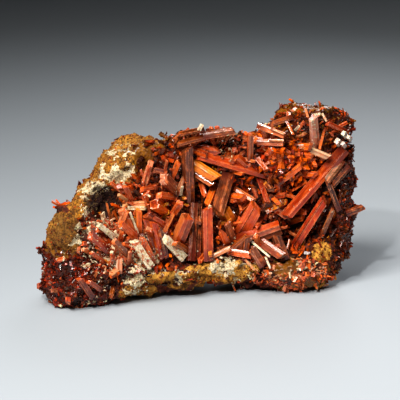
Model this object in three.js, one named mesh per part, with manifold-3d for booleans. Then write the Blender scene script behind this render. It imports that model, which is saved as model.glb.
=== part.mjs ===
// Crocoite on gossan: a cabinet specimen about 104 mm across its display face.
// Orange-red lead chromate prisms lie jumbled in the hollow of an iron-stained rock, and
// crusts of smaller crystals grow on its rim. All lengths are millimetres, +Z is up, +X runs
// along the specimen and the display face looks towards -Y.

import * as THREE from "three";
import * as BufferGeometryUtils from "three/addons/utils/BufferGeometryUtils.js";
import Module from "manifold-3d";

const wasm = await Module();
wasm.setup();

// ---------------------------------------------------------------- driving dimensions

// The display face is laid out as [across, up, out], square to a line that comes in over it.
const FACE_AZIMUTH = -12; // degrees, the left end is turned towards that line
const FACE_ELEVATION = 13; // degrees above level
const GAP = 0.3; // clearance between pieces that touch
const FINE = 0.12; // prisms lose the edges that move a face by less than this
const COARSE = 0.22; // and so do the rock and its crusts
const GROUND = 1.4; // height in the face's frame at which the two feet are cut flat

const SLANT_REACH = 0.33; // how far a slanting end runs on, as a share of the width

const FACE_OUT = 12; // the face plane's distance out at its middle
const FACE_TURN = -0.28; // how fast the face plane comes out along the specimen
const FACE_LEAN = 0.1; // how fast it comes out upwards
const MIDDLE = [0, 28]; // the point that the rim goes round

const ROCK_DETAIL = 9; // the rock's skin starts as an icosahedron with this many cuts an edge
const RIM_BACK = 9; // how far the rim lies behind the face plane
const ROCK_BACK = 25; // how far the rock goes on behind its rim
const FRONT_SPREAD = 0.85; // below 1 widens the first rings of the face
const BACK_SPREAD = 0.75; // and those of the back
const RIM_SHARPNESS = 5; // how close to the rim the face and the back stay level
const FACE_ROUNDING = 0.6; // the smaller, the squarer the edge in front of the rim
const BACK_ROUNDING = 0.55; // and behind it
const HOLLOW_LEVEL = -1.5; // parts of the face below this belong to the hollow
const LUMP_SIZE = 11; // spacing of the large lumps
const LUMP_HEIGHT = 3.2;
const KNOT_SIZE = 5; // spacing of the small lumps
const KNOT_HEIGHT = 2.2;
const HOLLOW_CALM = 0.3; // the share of those heights left inside the hollow

const CRUST_THICKNESS = 1.4; // a crust of small crystals over the rock
const CRUST_BUMPS = 1; // how much thicker it is in places
const CRUST_SPACING = 2; // one rock corner in this many carries a crystal of its own
const CRUST_WIDTH = 1.8; // the width of such a crystal
const CRUST_LENGTH = 4.2; // and its length, of which half stands out
const CRUST_MARGIN = 0.85; // crystals keep to this share of a patch
const CRUST_ROOT = 0.5; // how deep such a crystal starts below the rock's skin

// The rock's rim on the display face, [across, up], anticlockwise from the right.
const RIM = [
  [47.3, 28], [47, 36], [48.2, 44], [48.8, 50], [48.8, 56], [47.6, 61], [42, 62.4],
  [35, 60.8], [29.5, 59], [26.4, 56.4], [23, 54.6], [18, 54.2], [12, 52.8], [6, 52], [1, 51.2],
  [-4.2, 50.6], [-8, 48.8], [-12, 48], [-15, 49.2], [-20, 50.4], [-25.5, 49.8], [-29.5, 47.2],
  [-32.6, 45], [-35.4, 42.2], [-38, 37.6], [-39.4, 35], [-40.4, 31], [-43.4, 28.6], [-47, 25.6],
  [-49.4, 20.4], [-49.2, 14], [-49.8, 8], [-49.6, 1], [-49.4, -4], [-40, -5.6], [-31, -4],
  [-27, -1], [-18, 0.2], [-12, 2.4], [-3, 3.8], [8, 4], [19, 4.2], [22.5, 2.2], [28, 1.4],
  [34, 2.6], [38, 4], [41, 7], [45, 9.4], [47.6, 12.6], [47.2, 18], [48.4, 23],
];

// Hollows in the face: [across, up], [half width, half height], depth.
const HOLLOWS = [
  { at: [9, 28], size: [19, 16], depth: 8.5 },
  { at: [33, 29], size: [7, 12], depth: 7 },
  { at: [27, 20], size: [6, 7], depth: 5 },
  { at: [-32, 31], size: [6, 5], depth: 7 },
  { at: [-3, 36], size: [6, 12], depth: 4 },
  { at: [5, 47], size: [7, 3.5], depth: 5 },
  { at: [-19, 42], size: [3.5, 3.5], depth: 4 },
  { at: [37, 53], size: [7, 7], depth: 3.5 },
  { at: [-20, 24], size: [9, 8], depth: 2.5 },
];

// Lumps and ledges that stand out of it, given in the same way.
const BULGES = [
  { at: [-44, 21], size: [6, 7], depth: 4 },
  { at: [-28, 45], size: [9, 6], depth: 4.5 },
  { at: [-38, 33], size: [4, 5], depth: 2.5 },
  { at: [-42, 4], size: [11, 8], depth: 3 },
  { at: [4, 8], size: [24, 4], depth: 5 },
  { at: [32, 8], size: [12, 5], depth: 3.5 },
  { at: [38, 15], size: [5, 4], depth: 3 },
  { at: [36, 60], size: [13, 4], depth: 3 },
  { at: [0, 53], size: [14, 3], depth: 2.5 },
  { at: [-30, 12], size: [11, 7], depth: 2 },
];

// The prisms, each given as [across, up, above] at its root and at its tip, where above is the
// height over the face's own level there, and then as width, thickness, roll in degrees,
// colour and the form of its free end. A root lies inside the rock.
const CRYSTALS = [
  ["long_diagonal", [45.5, 48.6, -1.5], [26.8, 27.3, 5], 4.0, 3.2, 12, "red", "broken"],
  ["second_diagonal", [29.3, 16.2, -1.5], [39.0, 31.8, 3.5], 3.2, 2.8, -14, "red", "slant"],
  ["brown_rail", [20.0, 32.2, -1.5], [28.0, 26.5, 4.5], 3.4, 2.8, 10, "brown", "slant"],
  ["lower_beam", [10.8, 18.4, -1.5], [24.6, 23.2, 6], 4.4, 4.0, 42, "orange", "flat"],
  ["lower_beam_foot", [8.0, 14.6, -1.5], [14.0, 20.0, 4], 2.6, 2.2, 20, "brown", "broken"],
  ["dark_slat", [16.6, 19.7, -0.5], [25.3, 13.8, 5], 3.2, 2.0, -10, "brown", "slant"],
  ["brown_stub", [26.2, 12.4, -1.5], [23.1, 20.8, 3.5], 3.0, 2.6, 25, "brown", "slant"],
  ["wide_bar", [11.8, 21.2, -1.2], [16.6, 29.8, 5], 5.0, 3.0, 8, "orange", "slant"],
  ["amber_block", [8.8, 24.8, -1.2], [6.4, 29.0, 3], 3.4, 3.0, 30, "amber", "flat"],
  ["central_bar", [1.1, 12.4, -1.8], [0.8, 28.8, 7], 3.2, 3.0, 14, "pale", "broken"],
  ["big_brown_bar", [7.4, 40.6, -1.5], [3.9, 28.4, 5], 4.6, 3.6, -18, "brown", "slant"],
  ["amber_bar", [-5.0, 44.5, 0], [3.9, 38.9, 7], 3.2, 2.6, 28, "amber", "slant"],
  ["pale_bar", [-4.6, 41.6, -0.5], [2.6, 36.9, 5.5], 1.9, 1.8, 20, "pale", "slant"],
  ["long_orange_bar", [20.6, 40.1, -1.5], [-1.6, 46.2, 2.5], 3.3, 2.6, 10, "orange", "slant"],
  ["post", [-4.9, 28.0, -1.5], [-5.6, 48.0, 3.5], 3.6, 3.6, 38, "brown", "broken"],
  ["dark_column", [-4.4, 12.4, -1.5], [-3.4, 31.0, 3], 2.6, 2.4, 20, "brown", "flat"],
  ["dark_column_right", [-1.9, 12.8, -1.5], [-1.4, 30.4, 2.4], 2.0, 2.0, -25, "brown", "slant"],
  ["hopper_crystal", [-9.0, 17.8, -1.5], [-5.4, 26.6, 8], 4.6, 4.2, 40, "red", "hollow"],
  ["coated_stub", [-6.8, 13.4, -1.5], [-12.2, 19.4, 4], 2.9, 2.4, 10, "cream", "broken"],
  ["brown_stub_left", [-5.2, 15.4, -1.2], [-9.4, 18.2, 4.5], 2.0, 2.0, 30, "orange", "slant"],
  ["fan_bar", [-13.7, 13.4, -1.5], [-16.2, 24.8, 4.5], 3.3, 3.0, 32, "orange", "slant"],
  ["fan_bar_thin", [-16.2, 16.2, -1.2], [-18.7, 25.8, 3.5], 1.9, 1.8, 10, "orange", "slant"],
  ["fan_pink", [-22.1, 20.7, -1.2], [-26.2, 28.8, 4.5], 2.6, 2.2, -20, "pale", "flat"],
  ["fan_upright", [-21.0, 21.0, -1.2], [-20.8, 28.8, 3.5], 1.9, 1.8, 15, "orange", "slant"],
  ["pale_block", [-23.2, 30.6, -1], [-18.7, 30.8, 3.4], 2.0, 1.8, 10, "pale", "flat"],
  ["fan_orange", [-21.4, 19.4, -1.2], [-26.3, 24.2, 3.6], 2.4, 2.0, 18, "orange", "broken"],
  ["white_bar", [-28.6, 20.1, -1], [-33.4, 24.2, 3.4], 1.8, 1.6, 8, "cream", "flat"],
  ["pink_block", [-31.1, 16.2, -1.4], [-35.6, 20.8, 3.6], 3.5, 3.0, 24, "pale", "broken"],
  ["pink_stub", [-24.1, 14.6, -1.4], [-28.3, 18.8, 3.6], 3.0, 2.6, -16, "pale", "broken"],
  ["cream_bar", [-17.1, 10.6, -1.4], [-22.3, 18.8, 3.8], 2.6, 2.4, 14, "cream", "slant"],
  ["crossing_red", [-13.6, 36.7, -1.2], [-19.8, 35.4, 3.6], 1.9, 1.8, 12, "red", "slant"],
  ["striped_stub", [-9.0, 32.7, -1.4], [-14.3, 33.6, 4.4], 2.3, 2.2, 16, "pale", "slant"],
  ["hollow_block", [-12.0, 28.4, -1.4], [-15.8, 30.8, 4.8], 3.6, 3.4, 44, "orange", "hollow"],
  ["two_tone_block", [-9.2, 34.8, -1.5], [-12.6, 38.6, 4], 3.8, 3.2, 36, "orange", "broken"],
  ["cream_topped_block", [-17.0, 30.0, -1.2], [-18.8, 34.6, 3.6], 2.8, 2.6, 20, "pale", "flat"],
  ["dark_plate", [-13.1, 24.0, -1.5], [-18.2, 27.4, 3], 3.0, 1.6, 10, "brown", "slant"],
  ["ridge_bar", [-0.4, 54.4, -1.2], [-8.4, 52.7, 2.4], 1.7, 1.7, 15, "brown", "slant"],
  ["ridge_bar_lower", [0.0, 52.0, -1.4], [-8.3, 49.7, 3], 2.1, 1.9, 20, "brown", "slant"],
  ["pointed_block", [-2.6, 48.4, -1.4], [5.4, 47.4, 4.5], 3.0, 2.6, 20, "orange", "pointed"],
  ["ridge_plate", [-0.4, 52.6, -1.4], [8.8, 54.0, 3], 2.6, 1.8, -12, "brown", "broken"],
  ["upright_brown", [14.7, 43.4, -1.2], [14.7, 52.8, 3], 1.8, 1.6, 20, "orange", "slant"],
  ["striped_lath", [17.0, 50.8, -1.2], [25.3, 50.3, 3.4], 2.0, 1.8, 14, "pale", "flat"],
  ["white_lath", [17.0, 56.0, -1.2], [25.6, 52.7, 3.8], 2.0, 1.7, -12, "pale", "flat"],
  ["pink_nub", [13.6, 43.0, -1.2], [10.2, 46.0, 3], 2.6, 2.4, 30, "pale", "slant"],
  ["crusted_bar", [23.3, 37.0, -1.2], [31.3, 43.2, 3.6], 2.0, 1.9, 12, "orange", "slant"],
  ["white_streaked_bar", [17.5, 39.2, -1.2], [20.3, 31.2, 4.6], 1.8, 1.7, 15, "red", "slant"],
  ["pale_splinter", [9.1, 36.0, -1.2], [15.8, 31.8, 4.6], 1.8, 1.6, 15, "pale", "slant"],
  ["pale_upright", [36.2, 48.4, -1.4], [34.9, 57.9, 4.6], 2.7, 2.4, 38, "pale", "broken"],
  ["pale_crossing", [29.8, 50.3, -1.2], [40.3, 45.8, 2.6], 2.1, 1.8, 12, "pale", "slant"],
  ["crown_red", [46.0, 54.2, -1.4], [39.7, 56.7, 3.4], 1.6, 1.5, 18, "red", "slant"],
  ["crown_shoulder", [28.2, 58.6, -5.5], [21.8, 56.4, -1], 1.9, 1.8, 14, "brown", "slant"],
  ["olive_bar", [45.0, 44.6, -1.6], [39.5, 37.9, 3.2], 2.4, 2.0, 10, "brown", "slant"],
  ["olive_bar_behind", [47.0, 43.0, -2], [41.5, 36.8, 1.2], 2.2, 2.0, -12, "brown", "slant"],
  ["flank_needle", [38.3, 20.0, -3.2], [41.8, 28.9, 2.6], 1.4, 1.3, 20, "pale", "slant"],
  ["red_tooth", [28.2, 24.8, -1.2], [32.4, 26.2, 3], 1.8, 1.7, 20, "red", "slant"],
  ["amber_brace", [3.6, 37.2, -0.8], [0.8, 30.2, 5.2], 2.2, 1.9, 25, "amber", "slant"],
  ["orange_wedge", [7.3, 17.4, -1.2], [5.2, 22.4, 3.6], 2.2, 1.8, 20, "orange", "pointed"],
  ["glinting_stub", [9.7, 19.2, -1.2], [7.5, 24.3, 4.2], 2.4, 2.0, -22, "pale", "broken"],
  ["purple_brown_bar", [12.7, 12.4, -1.4], [13.6, 19.6, 3.6], 2.2, 2.0, 36, "brown", "slant"],
  ["rust_block", [18.8, 10.6, -1.4], [15.4, 15.9, 3.6], 2.8, 2.4, 16, "brown", "broken"],
  ["foot_crystal", [-35.6, 1.2, -1.2], [-39.2, 7.2, 3], 2.0, 1.8, 20, "red", "slant"],
];

// Crusts of small crystals: the middle [across, up, above] of the patch and its half sizes.
const CRUSTS = [
  { name: "druse_left_foot", at: [-45, 4, -8], size: [15, 14, 26], colour: "druse" },
  { name: "druse_top_ridge", at: [0, 56, -10], size: [16, 6, 14], colour: "druse" },
  { name: "druse_shoulder", at: [-17, 44, -1], size: [7, 8, 7], colour: "orange" },
  { name: "druse_right_face", at: [26, 44, -2], size: [9, 6, 8], colour: "orange" },
  { name: "druse_crown", at: [36, 60, -9], size: [15, 9, 20], colour: "druse" },
  { name: "druse_right_flank", at: [50, 30, -10], size: [9, 20, 22], colour: "brown" },
  { name: "druse_lower_right", at: [31, 7, -1], size: [13, 6, 9], colour: "red" },
];

const COLOURS = {
  gossan: 0x9a6a24,
  druse: 0x8c2c16,
  orange: 0xd0561f,
  red: 0xb03a1e,
  brown: 0x6a2414,
  amber: 0xe8902c,
  pale: 0xd79a82,
  cream: 0xd8cbaa,
};

// ---------------------------------------------------------------- the display face's frame

const azimuth = THREE.MathUtils.degToRad(FACE_AZIMUTH);
const elevation = THREE.MathUtils.degToRad(FACE_ELEVATION);
const ACROSS = new THREE.Vector3(Math.cos(azimuth), Math.sin(azimuth), 0);
const OUT = new THREE.Vector3(
  Math.sin(azimuth) * Math.cos(elevation),
  -Math.cos(azimuth) * Math.cos(elevation),
  Math.sin(elevation),
);
const UP = new THREE.Vector3().crossVectors(OUT, ACROSS);

// A point of the display face in the part's frame; out is counted from the face plane.
function facePoint(across, up, out) {
  const plane = FACE_OUT + FACE_TURN * across + FACE_LEAN * (up - MIDDLE[1]);
  return new THREE.Vector3()
    .addScaledVector(ACROSS, across)
    .addScaledVector(UP, up)
    .addScaledVector(OUT, plane + out);
}

// ---------------------------------------------------------------- solids

// A geometry's shared corners are merged, so that it closes, and it becomes a solid.
function solidOf(geometry) {
  const bare = geometry.clone();
  bare.deleteAttribute("normal");
  bare.deleteAttribute("uv");
  const closed = BufferGeometryUtils.mergeVertices(bare, 1e-4);
  const mesh = new wasm.Mesh({
    numProp: 3,
    vertProperties: new Float32Array(closed.getAttribute("position").array),
    triVerts: new Uint32Array(closed.getIndex().array),
  });
  return new wasm.Manifold(mesh);
}

function geometryOf(solid) {
  const mesh = solid.getMesh();
  const geometry = new THREE.BufferGeometry();
  geometry.setAttribute("position", new THREE.BufferAttribute(mesh.vertProperties, 3));
  geometry.setIndex(new THREE.BufferAttribute(mesh.triVerts, 1));
  return geometry;
}

// Only the largest body of a solid is kept; chips that a cut leaves behind are dropped, and so
// are edges too small to matter.
function largestBody(solid, fineness) {
  const bodies = solid.simplify(fineness).decompose();
  return bodies.reduce((best, body) => (body.volume() > best.volume() ? body : best));
}

function union(solids) {
  return wasm.Manifold.union(solids);
}

// ---------------------------------------------------------------- uneven rock

// A repeatable number from 0 to 1 for three whole numbers.
function scatter(i, j, k) {
  const wave = Math.sin(i * 127.1 + j * 311.7 + k * 74.7) * 43758.5453;
  return wave - Math.floor(wave);
}

// Smooth lumps from -1 to 1, with one lump in about each unit of space.
function lumps(x, y, z) {
  const corner = [Math.floor(x), Math.floor(y), Math.floor(z)];
  const ease = [x - corner[0], y - corner[1], z - corner[2]].map((t) => t * t * (3 - 2 * t));
  let sum = 0;
  for (let corners = 0; corners < 8; corners += 1) {
    const step = [corners & 1, (corners >> 1) & 1, (corners >> 2) & 1];
    const share = step.reduce((all, one, n) => all * (one ? ease[n] : 1 - ease[n]), 1);
    sum += share * scatter(corner[0] + step[0], corner[1] + step[1], corner[2] + step[2]);
  }
  return 2 * sum - 1;
}

function swell(list, across, up) {
  return list.reduce((sum, { at, size, depth }) => {
    const x = (across - at[0]) / size[0];
    const y = (up - at[1]) / size[1];
    return sum + depth * Math.exp(-(x * x + y * y));
  }, 0);
}

const rimAngles = RIM.map(([across, up]) => {
  const angle = Math.atan2(up - MIDDLE[1], across - MIDDLE[0]);
  return angle < 0 ? angle + 2 * Math.PI : angle;
});
const rimReach = RIM.map(([across, up]) => Math.hypot(across - MIDDLE[0], up - MIDDLE[1]));

// The rim's distance from the middle in one direction.
function reachAt(angle) {
  const turn = angle < 0 ? angle + 2 * Math.PI : angle;
  const found = rimAngles.findIndex((next) => next > turn);
  const next = found < 0 ? 0 : found;
  const last = (next + RIM.length - 1) % RIM.length;
  const span = (rimAngles[next] - rimAngles[last] + 2 * Math.PI) % (2 * Math.PI);
  const part = ((turn - rimAngles[last] + 2 * Math.PI) % (2 * Math.PI)) / span;
  return rimReach[last] + (rimReach[next] - rimReach[last]) * part;
}

// The face's own level at a point: hollows go in, bulges come out.
function faceLevel(across, up) {
  return swell(BULGES, across, up) - swell(HOLLOWS, across, up);
}

// One corner of the rock. share runs from 0 at the middle of the face over 1 at the rim to 2
// at the middle of the back. In front of the rim the rock swells out to its face, and behind
// the rim it is carried straight back along +Y.
function rockCorner(angle, share) {
  const ring = share <= 1 ? share ** FRONT_SPREAD : (2 - share) ** BACK_SPREAD;
  const reach = reachAt(angle) * ring;
  const across = MIDDLE[0] + Math.cos(angle) * reach;
  const up = MIDDLE[1] + Math.sin(angle) * reach;
  const edge = 1 - ring ** RIM_SHARPNESS;
  if (share <= 1) {
    const swelling = (RIM_BACK + faceLevel(across, up)) * edge ** FACE_ROUNDING;
    return facePoint(across, up, swelling - RIM_BACK);
  }
  const corner = facePoint(across, up, -RIM_BACK);
  corner.y += ROCK_BACK * edge ** BACK_ROUNDING;
  return corner;
}

// Whether a corner lies inside the hollow of the face, where the prisms stand.
function isInHollow(corner) {
  const across = corner.dot(ACROSS);
  const up = corner.dot(UP);
  return corner.dot(OUT) > 0 && faceLevel(across, up) < HOLLOW_LEVEL;
}

// The rock's skin, moved out along its normals by grow, and by up to bumps more in places.
function rockGeometry(grow, bumps = 0) {
  const ball = new THREE.IcosahedronGeometry(1, ROCK_DETAIL);
  ball.deleteAttribute("normal");
  ball.deleteAttribute("uv");
  const geometry = BufferGeometryUtils.mergeVertices(ball, 1e-4);
  const corners = geometry.getAttribute("position");
  for (let i = 0; i < corners.count; i += 1) {
    const angle = Math.atan2(corners.getY(i), corners.getX(i));
    const share = Math.acos(THREE.MathUtils.clamp(corners.getZ(i), -1, 1)) / (Math.PI / 2);
    const corner = rockCorner(angle, share);
    corners.setXYZ(i, corner.x, corner.y, corner.z);
  }
  geometry.computeVertexNormals();
  const normals = geometry.getAttribute("normal");
  for (let i = 0; i < corners.count; i += 1) {
    const corner = new THREE.Vector3().fromBufferAttribute(corners, i);
    const calm = isInHollow(corner) ? HOLLOW_CALM : 1;
    const normal = new THREE.Vector3().fromBufferAttribute(normals, i);
    const large = lumps(...corner.clone().divideScalar(LUMP_SIZE).toArray());
    const small = lumps(...corner.clone().divideScalar(KNOT_SIZE).addScalar(17).toArray());
    const height = calm * (LUMP_HEIGHT * large + KNOT_HEIGHT * small);
    corner.addScaledVector(normal, height + grow + bumps * scatter(i, 6, 0));
    corners.setXYZ(i, corner.x, corner.y, corner.z);
  }
  return geometry;
}

// Everything below a height is cut away, so that what is left rests flat.
function cutFlat(solid, height) {
  const below = new THREE.BoxGeometry(240, 240, 60);
  below.translate(0, 0, height - 30);
  return solid.subtract(solidOf(below));
}

// ---------------------------------------------------------------- crystals

// A prism's section: nearly square with its corners cut, and one lengthwise step on the side
// that faces out, as the striped faces have.
function prismSection(width, thickness) {
  const x = width / 2;
  const y = thickness / 2;
  const cut = 0.16 * Math.min(width, thickness);
  return new THREE.Shape([
    new THREE.Vector2(cut - x, -y),
    new THREE.Vector2(x - cut, -y),
    new THREE.Vector2(x, cut - y),
    new THREE.Vector2(x, y - cut),
    new THREE.Vector2(0.3 * x, y),
    new THREE.Vector2(0.15 * x, y - cut),
    new THREE.Vector2(-x, y - cut),
  ]);
}

// How far the free end lies beyond the prism's length at a point of the section. Both are
// counted in half widths, from -1 to 1.
const ENDINGS = {
  flat: () => 0,
  hollow: (x, y) => 0.12 * x - 0.1 * y,
  slant: (x, y) => 0.5 * x - 0.15 * y,
  broken: (x, y) => -0.35 * x + 0.3 * Math.abs(y),
  pointed: (x) => -1.6 * Math.abs(x),
};

// A prism that stands along +Z from its root at the origin.
function prismGeometry(length, width, thickness, ending) {
  const geometry = new THREE.ExtrudeGeometry(prismSection(width, thickness), {
    depth: length,
    steps: 1,
    bevelEnabled: false,
  });
  const corners = geometry.getAttribute("position");
  for (let i = 0; i < corners.count; i += 1) {
    if (corners.getZ(i) > length / 2) {
      const x = corners.getX(i) / (width / 2);
      const y = corners.getY(i) / (thickness / 2);
      corners.setZ(i, length + (ENDINGS[ending](x, y) * width) / 2);
    }
  }
  return geometry;
}

// The matrix that lays a prism from one point towards another, its stepped side turned out.
function layAlong(from, to, roll) {
  const along = to.clone().sub(from).normalize();
  const side = new THREE.Vector3().crossVectors(OUT, along).normalize();
  const front = new THREE.Vector3().crossVectors(along, side);
  const turn = new THREE.Matrix4().makeRotationZ(THREE.MathUtils.degToRad(roll));
  return new THREE.Matrix4().makeBasis(side, front, along).setPosition(from).multiply(turn);
}

// One prism as a solid.
function crystalSolid(from, to, width, thickness, roll, ending) {
  const length = from.distanceTo(to);
  const place = layAlong(from, to, roll);
  const geometry = prismGeometry(length, width, thickness, ending).applyMatrix4(place);
  const prism = solidOf(geometry);
  if (ending !== "hollow") {
    return prism;
  }
  const pit = prismGeometry(width, 0.62 * width, 0.62 * thickness, "flat");
  pit.translate(0, 0, length - 0.4 * width);
  return prism.subtract(solidOf(pit.applyMatrix4(place)));
}

// A point over the face, counted from the face's own level there.
function surfacePoint([across, up, above]) {
  return facePoint(across, up, faceLevel(across, up) + above);
}

function crystalFrom([, root, tip, width, thickness, roll, , ending]) {
  return crystalSolid(surfacePoint(root), surfacePoint(tip), width, thickness, roll, ending);
}

// The plain block that a prism needs for itself, with the gap on every side.
function socketFrom([, root, tip, width, thickness, roll]) {
  const from = surfacePoint(root);
  const to = surfacePoint(tip);
  const length = from.distanceTo(to) + SLANT_REACH * width + 2 * GAP;
  const block = new THREE.BoxGeometry(width + 2 * GAP, thickness + 2 * GAP, length);
  block.translate(0, 0, length / 2 - GAP);
  return solidOf(block.applyMatrix4(layAlong(from, to, roll)));
}

// Prisms that grow through one another are one solid: each takes in every cluster it meets.
function growClusters(rows) {
  let clusters = [];
  for (const row of rows) {
    const solid = crystalFrom(row);
    const size = solid.volume();
    const met = clusters.filter((cluster) => !cluster.solid.intersect(solid).isEmpty());
    const apart = clusters.filter((cluster) => !met.includes(cluster));
    const members = [{ row, size, solid }, ...met.flatMap((cluster) => cluster.members)];
    clusters = [...apart, { members, solid: union(members.map((member) => member.solid)) }];
  }
  return clusters.map(({ members, solid }) => {
    const largest = members.reduce((best, next) => (next.size > best.size ? next : best));
    const name = members.length > 1 ? `${largest.row[0]}_cluster` : `crystal_${largest.row[0]}`;
    const socket = union(members.map(({ row }) => socketFrom(row)));
    return { name, solid, socket, size: solid.volume(), colour: largest.row[6] };
  });
}

// ---------------------------------------------------------------- crusts

// A patch of crust: a skin over the rock inside a rounded region, with short crystals on it.
function crustSolid({ at, size }, skin, corners, normals) {
  const region = new THREE.IcosahedronGeometry(1, 3);
  region.scale(size[0], size[2], size[1]);
  const middle = surfacePoint(at);
  region.translate(middle.x, middle.y, middle.z);
  const pieces = [skin.intersect(solidOf(region))];
  for (let i = 0; i < corners.count; i += CRUST_SPACING) {
    const corner = new THREE.Vector3().fromBufferAttribute(corners, i);
    const offset = corner.clone().sub(middle);
    const inside = Math.hypot(offset.x / size[0], offset.y / size[2], offset.z / size[1]);
    if (inside < CRUST_MARGIN) {
      const normal = new THREE.Vector3().fromBufferAttribute(normals, i);
      const lean = new THREE.Vector3(scatter(i, 1, 0), scatter(i, 2, 0), scatter(i, 3, 0));
      const along = normal.add(lean.subScalar(0.5)).normalize();
      const root = corner.clone().addScaledVector(along, -CRUST_ROOT);
      const length = CRUST_LENGTH * (0.6 + 0.5 * scatter(i, 4, 0));
      const width = CRUST_WIDTH * (0.7 + 0.6 * scatter(i, 5, 0));
      pieces.push(crustCrystal(root, root.clone().addScaledVector(along, length), width));
    }
  }
  return union(pieces);
}

// A short four-sided crystal of a crust.
function crustCrystal(root, tip, width) {
  const length = root.distanceTo(tip);
  const geometry = new THREE.CylinderGeometry(0.38 * width, 0.7 * width, length, 4);
  geometry.rotateX(Math.PI / 2);
  geometry.translate(0, 0, length / 2);
  return solidOf(geometry.applyMatrix4(layAlong(root, tip, 30)));
}

// ---------------------------------------------------------------- the specimen

function piece(name, solid, colour, roughness) {
  const material = new THREE.MeshStandardMaterial({ color: colour, roughness, metalness: 0 });
  const mesh = new THREE.Mesh(geometryOf(solid), material);
  mesh.name = name;
  return mesh;
}

const specimen = new THREE.Group();
const clusters = growClusters(CRYSTALS).sort((one, two) => two.size - one.size);

// The largest cluster is whole; each later one stops short of those before it.
let taken = union([]);
for (const { name, solid, socket, colour } of clusters) {
  const cut = largestBody(solid.subtract(taken), FINE);
  specimen.add(piece(name, cut, COLOURS[colour], 0.45));
  taken = taken.add(socket);
}

const bareRock = rockGeometry(0);
const rock = largestBody(cutFlat(solidOf(bareRock).subtract(taken), GROUND), COARSE);
specimen.add(piece("gossan_matrix", rock, COLOURS.gossan, 0.9));

// The crusts lie on the rock, clear of the prisms and of each other.
const skin = solidOf(rockGeometry(CRUST_THICKNESS, CRUST_BUMPS));
const corners = bareRock.getAttribute("position");
const normals = bareRock.getAttribute("normal");
taken = taken.add(solidOf(rockGeometry(GAP)));
for (const crust of CRUSTS) {
  const whole = cutFlat(crustSolid(crust, skin, corners, normals), GROUND + GAP);
  const cut = largestBody(whole.subtract(taken), COARSE);
  specimen.add(piece(crust.name, cut, COLOURS[crust.colour], 0.5));
  taken = taken.add(whole);
}

const bounds = new THREE.Box3().setFromObject(specimen);
const centre = bounds.getCenter(new THREE.Vector3());
specimen.position.set(-centre.x, -centre.y, -bounds.min.z);

export default specimen;
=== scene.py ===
# %% [markdown]
# # Crocoite on gossan
# The real object is one lump of rusty, porous rock, called gossan. Its face has a hollow, and
# prisms of crocoite, an orange-red lead chromate, have grown in it at all angles. Crusts of much
# smaller crystals cover the rim. The fixed frame holds the rock, the prisms and the crusts as
# plain solids. Each one is finished here: the rock gets its crumbly skin, the prisms their
# stripes and broken ends, and the crusts their thousands of crystals.

# %% Load the fixed frame
import math

import bmesh
import bpy
import numpy as np
from mathutils import Matrix, Vector


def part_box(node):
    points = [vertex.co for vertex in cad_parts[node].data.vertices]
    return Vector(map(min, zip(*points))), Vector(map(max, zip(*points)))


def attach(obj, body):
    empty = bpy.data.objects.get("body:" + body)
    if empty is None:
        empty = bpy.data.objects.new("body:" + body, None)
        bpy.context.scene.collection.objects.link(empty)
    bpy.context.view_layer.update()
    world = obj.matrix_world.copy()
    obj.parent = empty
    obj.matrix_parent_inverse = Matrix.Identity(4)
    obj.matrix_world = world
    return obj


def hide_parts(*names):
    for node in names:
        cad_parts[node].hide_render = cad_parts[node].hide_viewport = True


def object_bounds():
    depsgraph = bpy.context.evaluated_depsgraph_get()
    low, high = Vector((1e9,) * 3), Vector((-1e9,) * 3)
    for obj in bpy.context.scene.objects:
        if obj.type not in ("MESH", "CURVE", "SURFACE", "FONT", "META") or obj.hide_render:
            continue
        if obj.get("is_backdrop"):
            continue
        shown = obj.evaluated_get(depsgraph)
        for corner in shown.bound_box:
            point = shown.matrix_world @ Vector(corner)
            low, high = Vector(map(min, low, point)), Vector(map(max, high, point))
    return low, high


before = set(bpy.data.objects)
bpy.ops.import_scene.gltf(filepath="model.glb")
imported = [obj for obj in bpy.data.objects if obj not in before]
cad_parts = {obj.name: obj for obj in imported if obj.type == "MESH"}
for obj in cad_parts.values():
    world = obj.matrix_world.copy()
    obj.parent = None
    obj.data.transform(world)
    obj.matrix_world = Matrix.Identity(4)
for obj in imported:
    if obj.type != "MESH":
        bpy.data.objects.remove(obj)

MM = 0.001
cad_low, cad_high = (np.array(corner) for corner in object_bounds())
print("frame:", len(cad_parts), "nodes,", np.round((cad_high - cad_low) / MM, 1), "mm")

# %% [markdown]
# ## The display face
# A specimen is laid out on its display face: so far across, so far up, so far out. The
# face leans and turns a little, and has hollows and bulges. The same few numbers that shape the
# solids are repeated here, in millimetres, so that a prism's root can be given on the face.
# The only unknown is how far the whole part was shifted to stand on its origin, and one prism's
# box, compared with the same prism worked out here, gives that.

# %% The face's frame
FACE_AZIMUTH = math.radians(-12)
FACE_ELEVATION = math.radians(13)
FACE_OUT = 12
FACE_TURN = -0.28
FACE_LEAN = 0.1
FACE_MIDDLE_UP = 28

ACROSS = np.array([math.cos(FACE_AZIMUTH), math.sin(FACE_AZIMUTH), 0])
OUT = np.array([
    math.sin(FACE_AZIMUTH) * math.cos(FACE_ELEVATION),
    -math.cos(FACE_AZIMUTH) * math.cos(FACE_ELEVATION),
    math.sin(FACE_ELEVATION),
])
UP = np.cross(OUT, ACROSS)

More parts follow.
